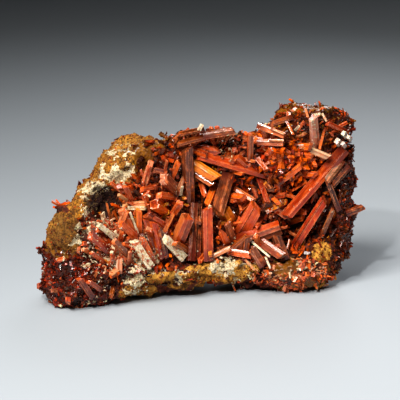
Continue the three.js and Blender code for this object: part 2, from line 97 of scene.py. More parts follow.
# Each hollow or bulge: across, up, half width, half height, depth.
HOLLOWS = [
    (9, 28, 19, 16, 8.5),
    (33, 29, 7, 12, 7),
    (27, 20, 6, 7, 5),
    (-32, 31, 6, 5, 7),
    (-3, 36, 6, 12, 4),
    (5, 47, 7, 3.5, 5),
    (-19, 42, 3.5, 3.5, 4),
    (37, 53, 7, 7, 3.5),
    (-20, 24, 9, 8, 2.5),
]
BULGES = [
    (-44, 21, 6, 7, 4),
    (-28, 45, 9, 6, 4.5),
    (-38, 33, 4, 5, 2.5),
    (-42, 4, 11, 8, 3),
    (4, 8, 24, 4, 5),
    (32, 8, 12, 5, 3.5),
    (38, 15, 5, 4, 3),
    (36, 60, 13, 4, 3),
    (0, 53, 14, 3, 2.5),
    (-30, 12, 11, 7, 2),
]


def swell(places, across, up):
    """The sum of soft bumps, each its depth times e to the minus squared distance from its middle,
    counted in its own half sizes."""
    bumps = [
        depth * np.exp(-(((across - x) / wide) ** 2) - ((up - y) / tall) ** 2)
        for x, y, wide, tall, depth in places
    ]
    return sum(bumps)


def face_level(across, up):
    """The face's height over its plane: bulges less hollows."""
    return swell(BULGES, across, up) - swell(HOLLOWS, across, up)


def face_plane(across, up):
    """How far out the leaning plane lies."""
    return FACE_OUT + FACE_TURN * across + FACE_LEAN * (up - FACE_MIDDLE_UP)


def unshifted_point(across, up, above):
    """A point given on the face, before the part's shift: along the three directions of the face."""
    out = face_plane(across, up) + face_level(across, up) + above
    return across * ACROSS + up * UP + out * OUT


# %% [markdown]
# ## One prism
# A crocoite prism is nearly square in section, with fine ridges along its length, and it ends in
# a slant, a ragged break or a hollow. It could be a bevelled box with a bump map, but its stripes
# catch the light as true steps, so it is a profile carried along a straight path: the section has
# a few dozen points, pushed in and out by a stripe pattern that changes at growth steps, and the
# rings between root and tip repeat it.

# %% A prism's section and ends
CORNER_CUT = 0.16  # of the smaller side
SECTION_POINTS = 44
CORNER_REACH = 0.25  # mm on both sides of a corner
RING_SPACING = 1.6  # mm
GROOVE_DEPTH = 0.055  # mm, of two opposite sides together
DEEPEST_SHARE = 0.035  # of the width, at most
TAPER = 0.05  # of the width, between root and tip


def section_outline(width, thickness):
    """Seven corners of the section: a rectangle with cut corners and one lengthwise step."""
    x, y = width / 2, thickness / 2
    cut = CORNER_CUT * min(width, thickness)
    return np.array([
        (cut - x, -y), (x - cut, -y), (x, cut - y), (x, y - cut),
        (0.3 * x, y), (0.15 * x, y - cut), (-x, y - cut),
    ])


def along_outline(outline, count):
    """count points along the closed outline. Each side gets a share in step with its length, and
    every corner is kept. Also gives how near each point is to a corner, from 0 to 1, and the
    direction that its side faces: the side turned a quarter back and made one long."""
    ends = np.roll(outline, -1, axis=0)
    lengths = np.linalg.norm(ends - outline, axis=1)
    shares = np.maximum(1, np.round(count * lengths / lengths.sum())).astype(int)
    side = np.repeat(np.arange(len(outline)), shares)
    starts = np.repeat(np.cumsum(shares) - shares, shares)
    part = (np.arange(len(side)) - starts) / shares[side]
    points = outline[side] + (ends - outline)[side] * part[:, None]
    corner = 1 - np.minimum(1, np.minimum(part, 1 - part) * lengths[side] / CORNER_REACH)
    run = (ends - outline)[side] / lengths[side, None]
    return points, corner, np.stack([run[:, 1], -run[:, 0]], 1)


def end_height(ending, x, y, ragged):
    """How far the free end runs past the prism's length, in half widths, over the section."""
    if ending == "slant":
        return 0.5 * x - 0.15 * y
    if ending == "broken":
        return -0.35 * x + 0.3 * np.abs(y) + 0.25 * ragged
    if ending == "pointed":
        return -1.6 * np.abs(x)
    if ending == "hollow":
        return 0.12 * x - 0.1 * y + 0.08 * ragged
    return 0.04 * ragged


# %% The frame of a prism and the prism itself
def axes_between(root, tip, roll):
    """Three directions: across the prism, towards its stepped side, and along it. The stepped side
    faces out of the display face before the roll turns it."""
    along = (tip - root) / np.linalg.norm(tip - root)
    side = np.cross(OUT, along)
    side /= np.linalg.norm(side)
    front = np.cross(along, side)
    c, s = math.cos(math.radians(roll)), math.sin(math.radians(roll))
    return np.array([c * side + s * front, c * front - s * side, along])


def runs(values, shortest, longest, rng):
    """The values, each repeated a few times and cut to their old number: stripes of uneven width."""
    return np.repeat(values, rng.integers(shortest, longest + 1, len(values)))[: len(values)]


def prism(root, tip, width, thickness, roll, ending, seed, points):
    """Corners, triangles, and for each corner its place round and along the prism, its nearness to
    an edge, its stripe and the direction that its side faces. Ring j of the side is the section,
    pushed in by the stripes, at height j over the length. The last rings form the end, sunk where
    it is hollow."""
    rng = np.random.default_rng(seed)
    length = np.linalg.norm(tip - root)
    outline = section_outline(width, thickness)
    flat, corner, facing = along_outline(outline, points)
    count = len(flat)
    stripe = runs(rng.random(count), 1, 3, rng)
    other = runs(rng.random(count), 1, 3, rng)
    rings = max(4, int(length / RING_SPACING))
    heights = np.linspace(0, 1, rings) + np.r_[0, rng.uniform(-0.2, 0.2, rings - 2), 0] / rings
    change = rng.uniform(0.15, 1.3, count)
    groove = np.where(heights[:, None] > change, other, stripe) * (1 - 0.85 * corner)
    push = 1 - np.minimum(DEEPEST_SHARE, GROOVE_DEPTH / width) * groove
    taper = 1 - TAPER * heights[:, None]
    xy = flat[None] * (push * taper)[..., None]
    ragged = runs(rng.uniform(-1, 1, count), 2, 6, rng)
    rise = end_height(ending, flat[:, 0] * 2 / width, flat[:, 1] * 2 / thickness, ragged)
    z = heights[:, None] * (length + np.minimum(0, rise.min()) * width / 2) + np.zeros(count)
    z[-1] = length + rise * width / 2
    layers = [np.dstack([xy, z])]
    for scale, sink in end_rings(ending):
        inner = xy[-1] * scale
        level = z[-1] * scale + z[-1].mean() * (1 - scale) - sink * width
        layers.append(np.dstack([inner[None], level[None]]))
    local = np.concatenate(layers).reshape(-1, 3)
    rows = len(local) // count
    local = np.vstack([local, [[0, 0, 0]], [local[-count:].mean(0)]])
    faces, around = ring_faces(rows, count)
    axes = axes_between(root, tip, roll)
    corners = root + local @ axes
    stripes = np.tile(stripe, rows)
    side_rows = (np.arange(rows) < rings).repeat(count)
    return {
        "corners": corners,
        "faces": faces,
        "uv": np.dstack([around * (width + thickness) * 2 / count, local[faces][..., 2]]),
        "edge": np.r_[np.tile(corner, rows) * side_rows, 0, 0],
        "stripe": np.r_[stripes, 0.5, 0.5],
        "facing": np.vstack([np.tile(facing @ axes[:2], (rows, 1)), -axes[2:], axes[2:]]),
        "end": np.r_[1.0 - side_rows, 0, 1],
        "height": np.r_[np.clip(local[:-2, 2] / length, 0, 1.2), 0, 1],
    }


def end_rings(ending):
    """Rings of the end as (scale, sink in widths): a hollow end has a rim, a wall and a floor."""
    if ending == "hollow":
        return [(0.78, 0), (0.66, 0.55), (0.3, 0.7)]
    return [(0.72, -0.02), (0.38, 0.05)]


def ring_faces(rows, count):
    """Triangles between neighbouring rings, and fans to one corner at each end. Also gives each
    triangle corner's number round the ring, not wrapped, so that a pattern has no seam."""
    j, k = np.meshgrid(np.arange(rows - 1), np.arange(count), indexing="ij")
    here, over = j * count + k, j * count + (k + 1) % count
    lower = np.stack([here, over, over + count], -1).reshape(-1, 3)
    upper = np.stack([here, over + count, here + count], -1).reshape(-1, 3)
    turn = np.stack([k, k + 1, k + 1], -1).reshape(-1, 3)
    back = np.stack([k, k + 1, k], -1).reshape(-1, 3)
    ring = np.arange(count)
    last = (rows - 1) * count
    root_fan = np.stack([(ring + 1) % count, ring, np.full(count, rows * count)], -1)
    tip_fan = np.stack([last + ring, last + (ring + 1) % count, np.full(count, rows * count + 1)], -1)
    fan_turn = np.stack([ring, ring + 1, ring], -1)
    faces = np.concatenate([lower, upper, root_fan, tip_fan])
    return faces, np.concatenate([turn, back, fan_turn, fan_turn])


# %% The part's shift, from one prism's box
def plain_box(root, tip, width, thickness, roll, ending):
    """Lowest and highest corner of the plain prism, without its stripes."""
    outline = section_outline(width, thickness)
    length = np.linalg.norm(tip - root)
    rise = end_height(ending, outline[:, 0] * 2 / width, outline[:, 1] * 2 / thickness, 0)
    low = np.c_[outline, np.zeros(len(outline))]
    high = np.c_[outline, length + rise * width / 2]
    corners = root + np.vstack([low, high]) @ axes_between(root, tip, roll)
    return corners.min(0), corners.max(0)


def on_face(place):
    """A place [across, up, above] as a point, before the shift."""
    return unshifted_point(*place)


# The first facts of this prism's row in the table of prisms.
GAUGE = ("second_diagonal", (29.3, 16.2, -1.5), (39.0, 31.8, 3.5), 3.2, 2.8, -14, "slant")
_, gauge_root, gauge_tip, *gauge_facts = GAUGE
gauge_low, gauge_high = plain_box(on_face(gauge_root), on_face(gauge_tip), *gauge_facts)
node_low, node_high = (np.array(corner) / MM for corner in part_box("crystal_second_diagonal"))
SHIFT = node_low - gauge_low
print("shift", np.round(SHIFT, 2), "mm, misfit", np.round(node_high - gauge_high - SHIFT, 2))


def face_coordinates(points):
    """Across, up and the height over the face's plane of points in millimetres."""
    free = points - SHIFT
    across, up = free @ ACROSS, free @ UP
    return across, up, free @ OUT - face_plane(across, up)


# %% [markdown]
# ## Noise, grains and patches
# Broken rock has no outline that could be drawn, so its lumps are worked out. Smooth noise takes
# random numbers on the corners of a cubic lattice and blends between them; summed over several
# sizes it makes lumps upon lumps. Grains are cells round scattered points: the distance to the
# nearest point swells each grain like a pebble. Patches say where on the face a finish lies.

# %% Lattice noise
def lattice_random(cells, seed):
    """A repeatable random number from 0 to 1 for each whole-number cell, from mixed-up bits."""
    mix = cells[..., 0] * 374761393 + cells[..., 1] * 668265263 + cells[..., 2] * 2147483629
    mix = (mix + seed * 974634777) & 0xFFFFFFFF
    mix = ((mix ^ (mix >> 13)) * 1274126177) & 0xFFFFFFFF
    mix = ((mix ^ (mix >> 16)) * 461845907) & 0xFFFFFFFF
    return (mix ^ (mix >> 15)) / 0xFFFFFFFF


def smooth_noise(points, size, seed):
    """From -1 to 1. Each point blends the random numbers of its cell's eight corners, with weights
    3t^2 - 2t^3 of its place in the cell."""
    place = points / size
    cell = np.floor(place).astype(np.int64)
    part = place - cell
    weight = part * part * (3 - 2 * part)
    total = np.zeros(len(points))
    for corner in np.ndindex(2, 2, 2):
        share = np.prod(np.where(corner, weight, 1 - weight), axis=1)
        total += share * lattice_random(cell + np.array(corner), seed)
    return total * 2 - 1


def layered_noise(points, size, seed, layers=3):
    """Smooth noise plus half of it at half the size, and so on."""
    return sum(smooth_noise(points, size / 2**k, seed + k) / 2**k for k in range(layers))


def grains(points, size, seed):
    """Distance to the nearest scattered point, in sizes, and that point's random number. Each cell
    of the lattice holds one scattered point."""
    place = points / size
    cell = np.floor(place).astype(np.int64)
    nearest = np.full(len(points), 9.0)
    own = np.zeros(len(points))
    for step in np.ndindex(3, 3, 3):
        other = cell + np.array(step) - 1
        spot = other + np.stack([lattice_random(other, seed + k) for k in range(3)], 1)
        distance = np.linalg.norm(place - spot, axis=1)
        own = np.where(distance < nearest, lattice_random(other, seed + 7), own)
        nearest = np.minimum(nearest, distance)
    return nearest, own


def soft_step(value, low, high):
    """0 below low, 1 above high, and 3t^2 - 2t^3 between them."""
    t = np.clip((value - low) / (high - low), 0, 1)
    return t * t * (3 - 2 * t)


def patches(across, up, places, ragged=0):
    """How strongly the patches cover each place on the face: for each ellipse
    (across, up, half width, half height, strength), 1 within it and fading to 0 at its rim, and
    the strongest counts. ragged, a noise, pushes the rims in and out."""
    cover = np.zeros(len(across))
    for x, y, wide, tall, strength in places:
        reach = np.hypot((across - x) / wide, (up - y) / tall) + ragged
        cover = np.maximum(cover, strength * (1 - soft_step(reach, 0.75, 1.15)))
    return cover


# %% [markdown]
# ## Making a piece
# Every finished piece comes from arrays: corners, triangles and, for each corner, the values that
# its material reads. One function puts them into a mesh, and another gives the piece its material
# and sets it riding on the one body.

# %% Colours and pieces
def paint(code):
    """A colour written as six hexadecimal digits, as the linear light that shaders use."""
    parts = np.array([int(code[k : k + 2], 16) for k in (0, 2, 4)]) / 255
    return np.where(parts < 0.04045, parts / 12.92, ((parts + 0.055) / 1.055) ** 2.4)


def put_in_mesh(name, corners, faces, values=None, uv=None):
    """A mesh object in metres from millimetre arrays. values are one number or one colour for each
    corner, uv one pair for each corner of each face."""
    mesh = bpy.data.meshes.new(name)
    mesh.vertices.add(len(corners))
    mesh.vertices.foreach_set("co", (corners * MM).astype(np.float32).ravel())
    mesh.loops.add(faces.size)
    mesh.loops.foreach_set("vertex_index", faces.astype(np.int32).ravel())
    mesh.polygons.add(len(faces))
    mesh.polygons.foreach_set("loop_start", np.arange(len(faces), dtype=np.int32) * 3)
    for key, value in (values or {}).items():
        if value.ndim == 2:
            layer = mesh.attributes.new(key, "FLOAT_COLOR", "POINT")
            colours = np.c_[value, np.ones(len(value))].astype(np.float32)
            layer.data.foreach_set("color", colours.ravel())
        else:
            layer = mesh.attributes.new(key, "FLOAT", "POINT")
            layer.data.foreach_set("value", value.astype(np.float32))
    if uv is not None:
        layer = mesh.uv_layers.new(name="along")
        layer.data.foreach_set("uv", uv.astype(np.float32).ravel())
    mesh.update()
    mesh.validate()
    mesh.shade_flat()
    piece = bpy.data.objects.new(name, mesh)
    bpy.context.scene.collection.objects.link(piece)
    return piece


def finish_piece(piece, material, nodes):
    """Material, body and the frame's nodes that the piece stands for."""
    piece.data.materials.append(material)
    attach(piece, "root")
    if nodes:
        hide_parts(*nodes)


BOX_MARGIN = 0.02  # mm


def into_box(corners):
    """Corners kept within the frame's box, so that no roughness makes the part larger."""
    return np.clip(corners, cad_low / MM + BOX_MARGIN, cad_high / MM - BOX_MARGIN)


# %% [markdown]
# ## The gossan
# Gossan is what weathering leaves of an ore: porous iron oxide, ochre yellow where it is powdery,
# brown and black where it is hard, with a whitish clay in its seams. The solid has the right
# outline but flat facets. It could be sculpted by hand, or given a bump map that fails at the
# outline. Here a copy of it is rebuilt as an even skin of small faces, and every corner of that
# skin is pushed along its normal by lumps, grains, pits and fine roughness.

# %% An even skin from a solid
def even_skin(node, voxel, smoothing):
    """A node's solid as small even triangles: doubles merged, remeshed on a lattice of cubes, then
    each corner moved towards its neighbours. Corners in millimetres and triangles."""
    merged = bmesh.new()
    merged.from_mesh(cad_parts[node].data)
    bmesh.ops.remove_doubles(merged, verts=merged.verts, dist=1e-6)
    mesh = bpy.data.meshes.new(node + "_copy")
    merged.to_mesh(mesh)
    merged.free()
    copy = bpy.data.objects.new(node + "_copy", mesh)
    bpy.context.scene.collection.objects.link(copy)
    remesh = copy.modifiers.new("even", "REMESH")
    remesh.mode = "VOXEL"
    remesh.voxel_size = voxel * MM
    smooth = copy.modifiers.new("smooth", "SMOOTH")
    smooth.factor = 0.5
    smooth.iterations = smoothing
    done = copy.evaluated_get(bpy.context.evaluated_depsgraph_get()).to_mesh()
    done.calc_loop_triangles()
    corners = np.empty(len(done.vertices) * 3)
    done.vertices.foreach_get("co", corners)
    faces = np.empty(len(done.loop_triangles) * 3, dtype=np.int32)
    done.loop_triangles.foreach_get("vertices", faces)
    bpy.data.objects.remove(copy)
    bpy.data.meshes.remove(mesh)
    return corners.reshape(-1, 3) / MM, faces.reshape(-1, 3)


def face_normals(corners, faces):
    """The cross product of two sides of each triangle: its normal, as long as twice its area."""
    a, b, c = (corners[faces[:, k]] for k in range(3))
    return np.cross(b - a, c - a)


def corner_normals(corners, faces):
    """At each corner, the sum of its triangles' normals, made one long."""
    flat = face_normals(corners, faces)
    total = np.stack([
        np.bincount(faces.ravel(), np.repeat(flat[:, k], 3), len(corners)) for k in range(3)
    ], 1)
    return total / np.maximum(np.linalg.norm(total, axis=1, keepdims=True), 1e-9)


# %% Where ochre, clay and painted shade lie on the face
OCHRE = [
    (-45, 21, 7.5, 8, 1), (-29, 45, 14, 9, 1), (-20, 51, 9, 4, 1), (-40, 33, 5, 7, 1),
    (-21, 2, 7, 3.5, 1), (-8, 7, 12, 3, 0.9), (6, 9, 14, 4, 1), (26, 10.5, 4.5, 3.5, 1),
    (38.5, 15, 4, 4, 1), (36, 4.5, 4, 2.5, 1), (44, 9, 6, 3, 0.55), (28, 2.5, 8, 2, 0.4),
    (32, 63, 13, 3, 0.75), (45, 58, 4, 5, 0.35), (15, 56, 5, 2, 0.6), (-2, 16, 1.5, 3.5, 0.8),
]
CLAY = [
    (-28, 41, 6.5, 4.5, 0.8), (-26, 48, 6, 2.5, 0.7), (-36, 36, 6, 2.5, 0.9), (-34, 20, 9, 7, 0.75),
    (-38, 30, 2, 4, 0.8), (-40, 22, 2, 5, 0.6),
    (-22, 14, 9, 8, 0.9), (-33, 12, 9, 4, 0.7), (-22, 4, 5, 4, 0.7), (6, 11, 5, 4, 0.9),
    (7, 51, 3, 3, 1), (8, 47, 1.6, 4, 0.9), (-1, 56, 2, 2, 1), (26, 10, 4, 2, 0.9),
    (12, 8, 7, 2.5, 0.6), (-9, 8, 4, 3, 0.6), (-15, 9, 4, 1.6, 0.8),
    (-2, 10, 4, 1.4, 0.8), (15, 11, 4, 1.4, 0.7), (22, 49, 4, 2, 0.5), (-38, 1, 5, 3, 0.5),
]
# Shaded places: patches where the rock and the crystals are darkened, mostly painted shade in hollows and
# gaps; on the left knob it also darkens the ochre's own colour.
SHADE = [
    (-32, 31.5, 6.5, 5.5, 1), (-8, 43, 3.5, 6, 1), (-19, 42, 3, 3.5, 0.8), (5, 46, 5, 2.5, 0.9),
    (3, 51, 4, 2, 0.7), (34, 30, 7, 10, 1), (27, 20, 6, 7, 0.9), (40, 36, 5, 4, 1),
    (37, 59, 5, 3, 0.8), (46, 30, 5, 22, 0.5), (-3, 36, 6, 12, 0.7), (11, 30, 5, 4, 0.5),
    (-45, 21, 7, 8, 0.65), (38, 57, 8, 5, 0.45),
]
# Few or no crystals grow on the floor of the dark hollow and in the other bare places.
CAVERN = [(-32, 31.5, 6, 5, 1)]
BARE = CAVERN + [
    (-28, 45, 9, 7, 1), (-45, 21, 6, 7, 1), (-20, 51.5, 7, 3.5, 1), (-36, 36, 5, 3, 0.8),
    (-40, 33, 4, 5, 1),
]
# Here the ochre is clean and light.
FRESH = [
    (38.5, 15, 5, 5, 1), (6, 9.5, 13, 2.6, 1), (-12, 8.5, 9, 2.2, 0.9), (-49, 26, 4, 5, 0.6),
    (-30, 51, 8, 3, 0.5), (36, 4.5, 5, 2, 0.7), (-18, 2, 6, 2, 0.5),
]
# Where the solid's outline is a little slack, the skin swells or shrinks.
FULLER = [
    (-34.5, 45, 4, 5, 1), (-40, 37, 2.5, 3, 0.8), (50, 36, 4, 6, 0.8), (50, 23, 4, 13, 1),
    (-2, 55.5, 5, 3, 0.7), (2, 3.5, 17, 3, 1.3), (36, 63, 12, 2, 0.6), (14, 57, 4, 2, 0.8),
]
LEANER = [(-45, 33, 3.5, 3, 1), (47, 5.5, 4, 2.5, 1), (-52, 6, 2, 8, 0.6)]
# Millimetres behind the face's plane that still belong to the display side, and its soft end.
DEPTH_OF_FACE = 13
FADE_BEHIND = 6


def on_display_side(height):
    """1 on the display side, 0 behind it, from the height over the face's plane."""
    return soft_step(height, -DEPTH_OF_FACE - FADE_BEHIND, -DEPTH_OF_FACE)


# %% Break up the skin
# All but the smoothing's rounds are in millimetres.
ROCK_VOXEL = 0.58
ROCK_SMOOTHING = 8
ROCK_SINK = 0.45
LUMP_SIZE = 5.5
PEBBLE_SIZE = 2.4
PIT_SIZE = 3.1
GRAIN_SIZE = 1.3


def broken_rock(corners, normals, lively):
    """How far each corner moves: broad lumps, pebbles that swell towards their middles, pits where
    a noise is high and fine roughness. lively, 0 to 1, scales all but the roughness. Also gives
    how deep in a pit each corner is, from 0 to 1."""
    broad = 1.2 * layered_noise(corners, LUMP_SIZE, seed=11)
    nearest, own = grains(corners + 0.6 * normals, PEBBLE_SIZE, seed=31)
    pebbles = (0.55 - nearest) * (0.4 + 0.8 * own)
    pits = soft_step(smooth_noise(corners, PIT_SIZE, seed=51), 0.4, 0.75)
    rough = 0.45 * layered_noise(corners, GRAIN_SIZE, seed=41, layers=2)
    return lively * (broad + pebbles - 1.3 * pits) + rough - ROCK_SINK, pits


def ochre_cover(across, up, height):
    """How much ochre lies at each place, 0 to 1: its patches on the display side and broad noise
    behind, both raised or lowered by a finer noise and cut off softly at a level."""
    spots = np.stack([across, up, height], 1)
    display = on_display_side(height)
    behind = 0.4 + 0.6 * layered_noise(spots, 14, seed=81)
    wanted = np.maximum(patches(across, up, OCHRE), (1 - display) * behind)
    return soft_step(wanted + 0.3 * layered_noise(spots, 4, seed=61), 0.4, 0.6)


def clay_cover(across, up, height):
    """The same for clay, in smaller and more broken patches, and in thin seams behind."""
    spots = np.stack([across, up, height], 1)
    display = on_display_side(height)
    seams = 0.6 * soft_step(smooth_noise(spots, 7, seed=71), 0.35, 0.6)
    wanted = display * patches(across, up, CLAY) + (1 - display) * seams
    return soft_step(wanted + 0.6 * layered_noise(spots, 2.2, seed=75), 0.5, 0.75)


rock_corners, rock_faces = even_skin("gossan_matrix", ROCK_VOXEL, ROCK_SMOOTHING)
rock_normals = corner_normals(rock_corners, rock_faces)
across, up, height = face_coordinates(rock_corners)
ragged = 0.35 * layered_noise(rock_corners, 3, seed=61)
display = on_display_side(height)
# Hollows are calmer, so that the prisms keep their roots, and the cavern's floor is rougher.
hollow = np.clip(swell(HOLLOWS, across, up) / 6, 0, 1) * display
moved, pits = broken_rock(rock_corners, rock_normals, 1 - 0.55 * hollow)
cavern = patches(across, up, CAVERN) * display
moved += cavern * (0.9 * layered_noise(rock_corners, 2.2, seed=65) - 0.3)
moved += patches(across, up, FULLER, ragged) * 0.8 - patches(across, up, LEANER, ragged) * 0.9
rock_corners = into_box(rock_corners + rock_normals * moved[:, None])
# The shade value is painted shade: the shaded patches and the pits are darkened.
rock_values = {
    "ochre": ochre_cover(across, up, height),
    "clay": clay_cover(across, up, height),
    "shade": np.maximum(display * patches(across, up, SHADE, ragged), 0.8 * pits),
    "fresh": display * patches(across, up, FRESH, ragged),
}
print("rock skin:", len(rock_corners), "corners,", len(rock_faces), "triangles")

# %% [markdown]
# ## Crusts of small crystals
# Where there was little room, crocoite grew as a druse: a crust of crystals a millimetre or two
# long. Placing them by hand would take days. They are scattered: points are drawn on the skin,
# more where a triangle is large and where a patch says so, and at each point stands a four-sided
# stub with a slanted end. Each has only twelve triangles, because there are tens of thousands.

# %% Points on a skin
def sprinkle(corners, faces, per_mm2, rng):
    """Random places on the skin. The expected number on a triangle is its area times per_mm2, one
    value for each triangle. Gives the places and the normals there."""
    flat = face_normals(corners, faces)
    twice = np.linalg.norm(flat, axis=1)
    number = rng.poisson(twice / 2 * per_mm2)
    pick = np.repeat(np.arange(len(faces)), number)
    u, v = rng.random((2, len(pick)))
    fold = u + v > 1
    u, v = np.where(fold, 1 - u, u), np.where(fold, 1 - v, v)
    a, b, c = (corners[faces[pick, k]] for k in range(3))
    places = a + (b - a) * u[:, None] + (c - a) * v[:, None]
    return places, flat[pick] / twice[pick, None]


def unit(vectors):
    """Each vector made one long."""
    return vectors / np.maximum(np.linalg.norm(vectors, axis=-1, keepdims=True), 1e-9)


# %% Many stubs at once
STUB_FACES = np.array([
    (0, 1, 5), (0, 5, 4), (1, 2, 6), (1, 6, 5), (2, 3, 7), (2, 7, 6), (3, 0, 4), (3, 4, 7),
    (4, 5, 6), (4, 6, 7), (0, 2, 1), (0, 3, 2),
])
STUB_SQUARE = np.array([(-0.5, -0.5), (0.5, -0.5), (0.5, 0.5), (-0.5, 0.5)])
FACES_PER_STUB = len(STUB_FACES)
CORNERS_PER_STUB = 2 * len(STUB_SQUARE)


def stubs(roots, axes, lengths, widths, rng):
    """Four-sided prisms. The root's corners lie half a width out along two directions across the
    axis. The end's corners are the same, drawn in by a tenth and raised or lowered by a slant."""
    count = len(roots)
    sides = unit(np.cross(axes, unit(rng.normal(size=(count, 3)))))
    others = np.cross(axes, sides)
    thick = widths * rng.uniform(0.6, 1, count)
    spread = (
        STUB_SQUARE[None, :, :1] * (sides * widths[:, None])[:, None]
        + STUB_SQUARE[None, :, 1:] * (others * thick[:, None])[:, None]
    )
    slant = rng.uniform(-0.7, 0.7, (count, 2)) * widths[:, None]
    rise = lengths[:, None] + slant @ STUB_SQUARE.T
    low = roots[:, None] + spread
    high = roots[:, None] + 0.9 * spread + axes[:, None] * rise[..., None]
    corners = np.concatenate([low, high], axis=1).reshape(-1, 3)
    first = np.arange(count)[:, None, None] * CORNERS_PER_STUB
    faces = (first + STUB_FACES).reshape(-1, 3)
    return corners, faces


# %% Tones
TONES = {
    "flame": "FA6E0A", "orange": "E25C0A", "brick": "C24408", "red": "B43208", "deep": "802406",
    "brown": "682C0A", "umber": "824424", "dark": "341408", "amber": "FAA01E", "rose": "D8723A",
    "pale": "E2A274", "cream": "E2CEA4", "olive": "6A5634", "ochre": "B27620", "rust": "A04E0E",
    "white": "F2E9D6", "plum": "5C200E", "mauve": "945234", "salmon": "C85A20", "coral": "B8502C",
}


def tones_of(mixture, count, rng, shared=None):
    """A colour for each of count crystals, drawn from {tone: share} and varied a little in
    brightness and hue. Six in ten take the draw that their neighbours share."""
    shares = np.array(list(mixture.values()), dtype=float)
    colours = np.array([paint(TONES[tone]) for tone in mixture])
    draw = rng.random(count)
    if shared is not None:
        draw = np.where(rng.random(count) < 0.6, shared, draw)
    pick = np.searchsorted(np.cumsum(shares / shares.sum()), draw * 0.999)
    bright = rng.lognormal(-0.18, 0.26, (count, 1))
    tint = rng.normal(1, 0.05, (count, 3))
    return np.clip(colours[pick] * bright * tint, 0, 0.95)


# %% A bed of crystals
# How unevenly stubs lean, how far they may, and how steeply each rises at least. The powers make
# most of them short and thin. Then the widest, as a share of the length, the root's depth, as a
# share of the width, and the millimetres over which neighbours have like tones.
LEAN_SPREAD = 0.2
LEAN_LIMIT = 0.92
LEAST_RISE = 0.15
SMALL_ONES = 1.6
THIN_ONES = 1.3
WIDEST_SHARE = 0.8
ROOT_DEPTH = 0.35
TONE_PATCH = 2.6


def painted_shade_and_mottle(points):
    """How much a crystal's tone is darkened, from 0 to 1: painted shade, deep in the shaded places, and
    darker by a noise of about two millimetres elsewhere."""
    across, up, height = face_coordinates(points)
    ragged = 0.3 * layered_noise(points, 3, seed=95)
    shaded = patches(across, up, SHADE, ragged) * on_display_side(height)
    dark_mottle = soft_step(layered_noise(points, 1.9, seed=91, layers=2), -0.1, 0.4)
    return np.maximum(0.85 * shaded, 0.9 * dark_mottle)


def bed(skin, share_of_place, per_mm2, size, mixture, lean, seed, towards=None, coat=0.0, shade_and_mottle=1):
    """Stubs on a skin. share_of_place(across, up, height) thins them out. size is the shortest and
    longest stub and the thinnest and thickest; most are small, as their random number is raised
    to a power. An axis is the normal and a direction along the skin, mixed by lean, and towards
    pulls it to one direction. The last argument darkens the roots and the shaded places with painted
    shade, and the rest by a noise. Gives corners, faces and the values that a material reads."""
    rng = np.random.default_rng(seed)
    corners, faces = skin
    across, up, height = face_coordinates(corners[faces].mean(1))
    places, normals = sprinkle(corners, faces, per_mm2 * share_of_place(across, up, height), rng)
    count = len(places)
    level = unit(np.cross(normals, rng.normal(size=(count, 3))))
    mix = np.clip(lean + LEAN_SPREAD * rng.normal(size=(count, 1)), 0, LEAN_LIMIT)
    axes = (1 - mix) * normals + mix * level
    if towards is not None:
        axes = axes + np.array(towards) @ np.array([ACROSS, UP, OUT])
    axes = unit(axes)
    too_low = np.maximum(0, LEAST_RISE - np.sum(axes * normals, 1))
    axes = unit(axes + too_low[:, None] * normals)
    short, long, thin, thick = size
    lengths = short + (long - short) * rng.random(count) ** SMALL_ONES
    widths = thin + (thick - thin) * rng.random(count) ** THIN_ONES
    widths = np.minimum(widths, lengths * WIDEST_SHARE)
    roots = places - axes * (ROOT_DEPTH * widths)[:, None]
    corners, faces = stubs(roots, axes, lengths, widths, rng)
    shared = grains(places, TONE_PATCH, seed)[1]
    # Painted shade: tones are darkened in the shaded places and by a noise, and the tip value at the roots is
    # lowered, so that the material shades them.
    tone = tones_of(mixture, count, rng, shared) * (1 - 0.92 * shade_and_mottle * painted_shade_and_mottle(places)[:, None])
    coated = coat * rng.random(count) + 0.6 * clay_cover(*face_coordinates(places))
    return {
        "corners": into_box(corners),
        "faces": faces,
        "tone": np.repeat(tone, CORNERS_PER_STUB, axis=0),
        "tip": np.tile([1.0 - shade_and_mottle] * 4 + [1.0] * 4, count),
        "coat": np.repeat(coated, CORNERS_PER_STUB),
    }


def joined(parts):
    """Several sets of arrays as one, each one's faces counted on from the last one's corners."""
    starts = np.cumsum([0] + [len(part["corners"]) for part in parts[:-1]])
    whole = {
        key: np.concatenate([part[key] for part in parts]) for key in parts[0] if key != "faces"
    }
    whole["faces"] = np.concatenate([part["faces"] + s for part, s in zip(parts, starts)])
    return whole


# %% The beds on the rock's display side
def in_hollows(across, up):
    """How deep in the face's hollows, from 0 to 1."""
    return np.clip(swell(HOLLOWS, across, up) / 4, 0, 1)


def off_ochre(across, up):
    """Ochre and a few other places carry few crystals or none."""
    return (1 - 0.9 * patches(across, up, OCHRE)) * (1 - patches(across, up, BARE))


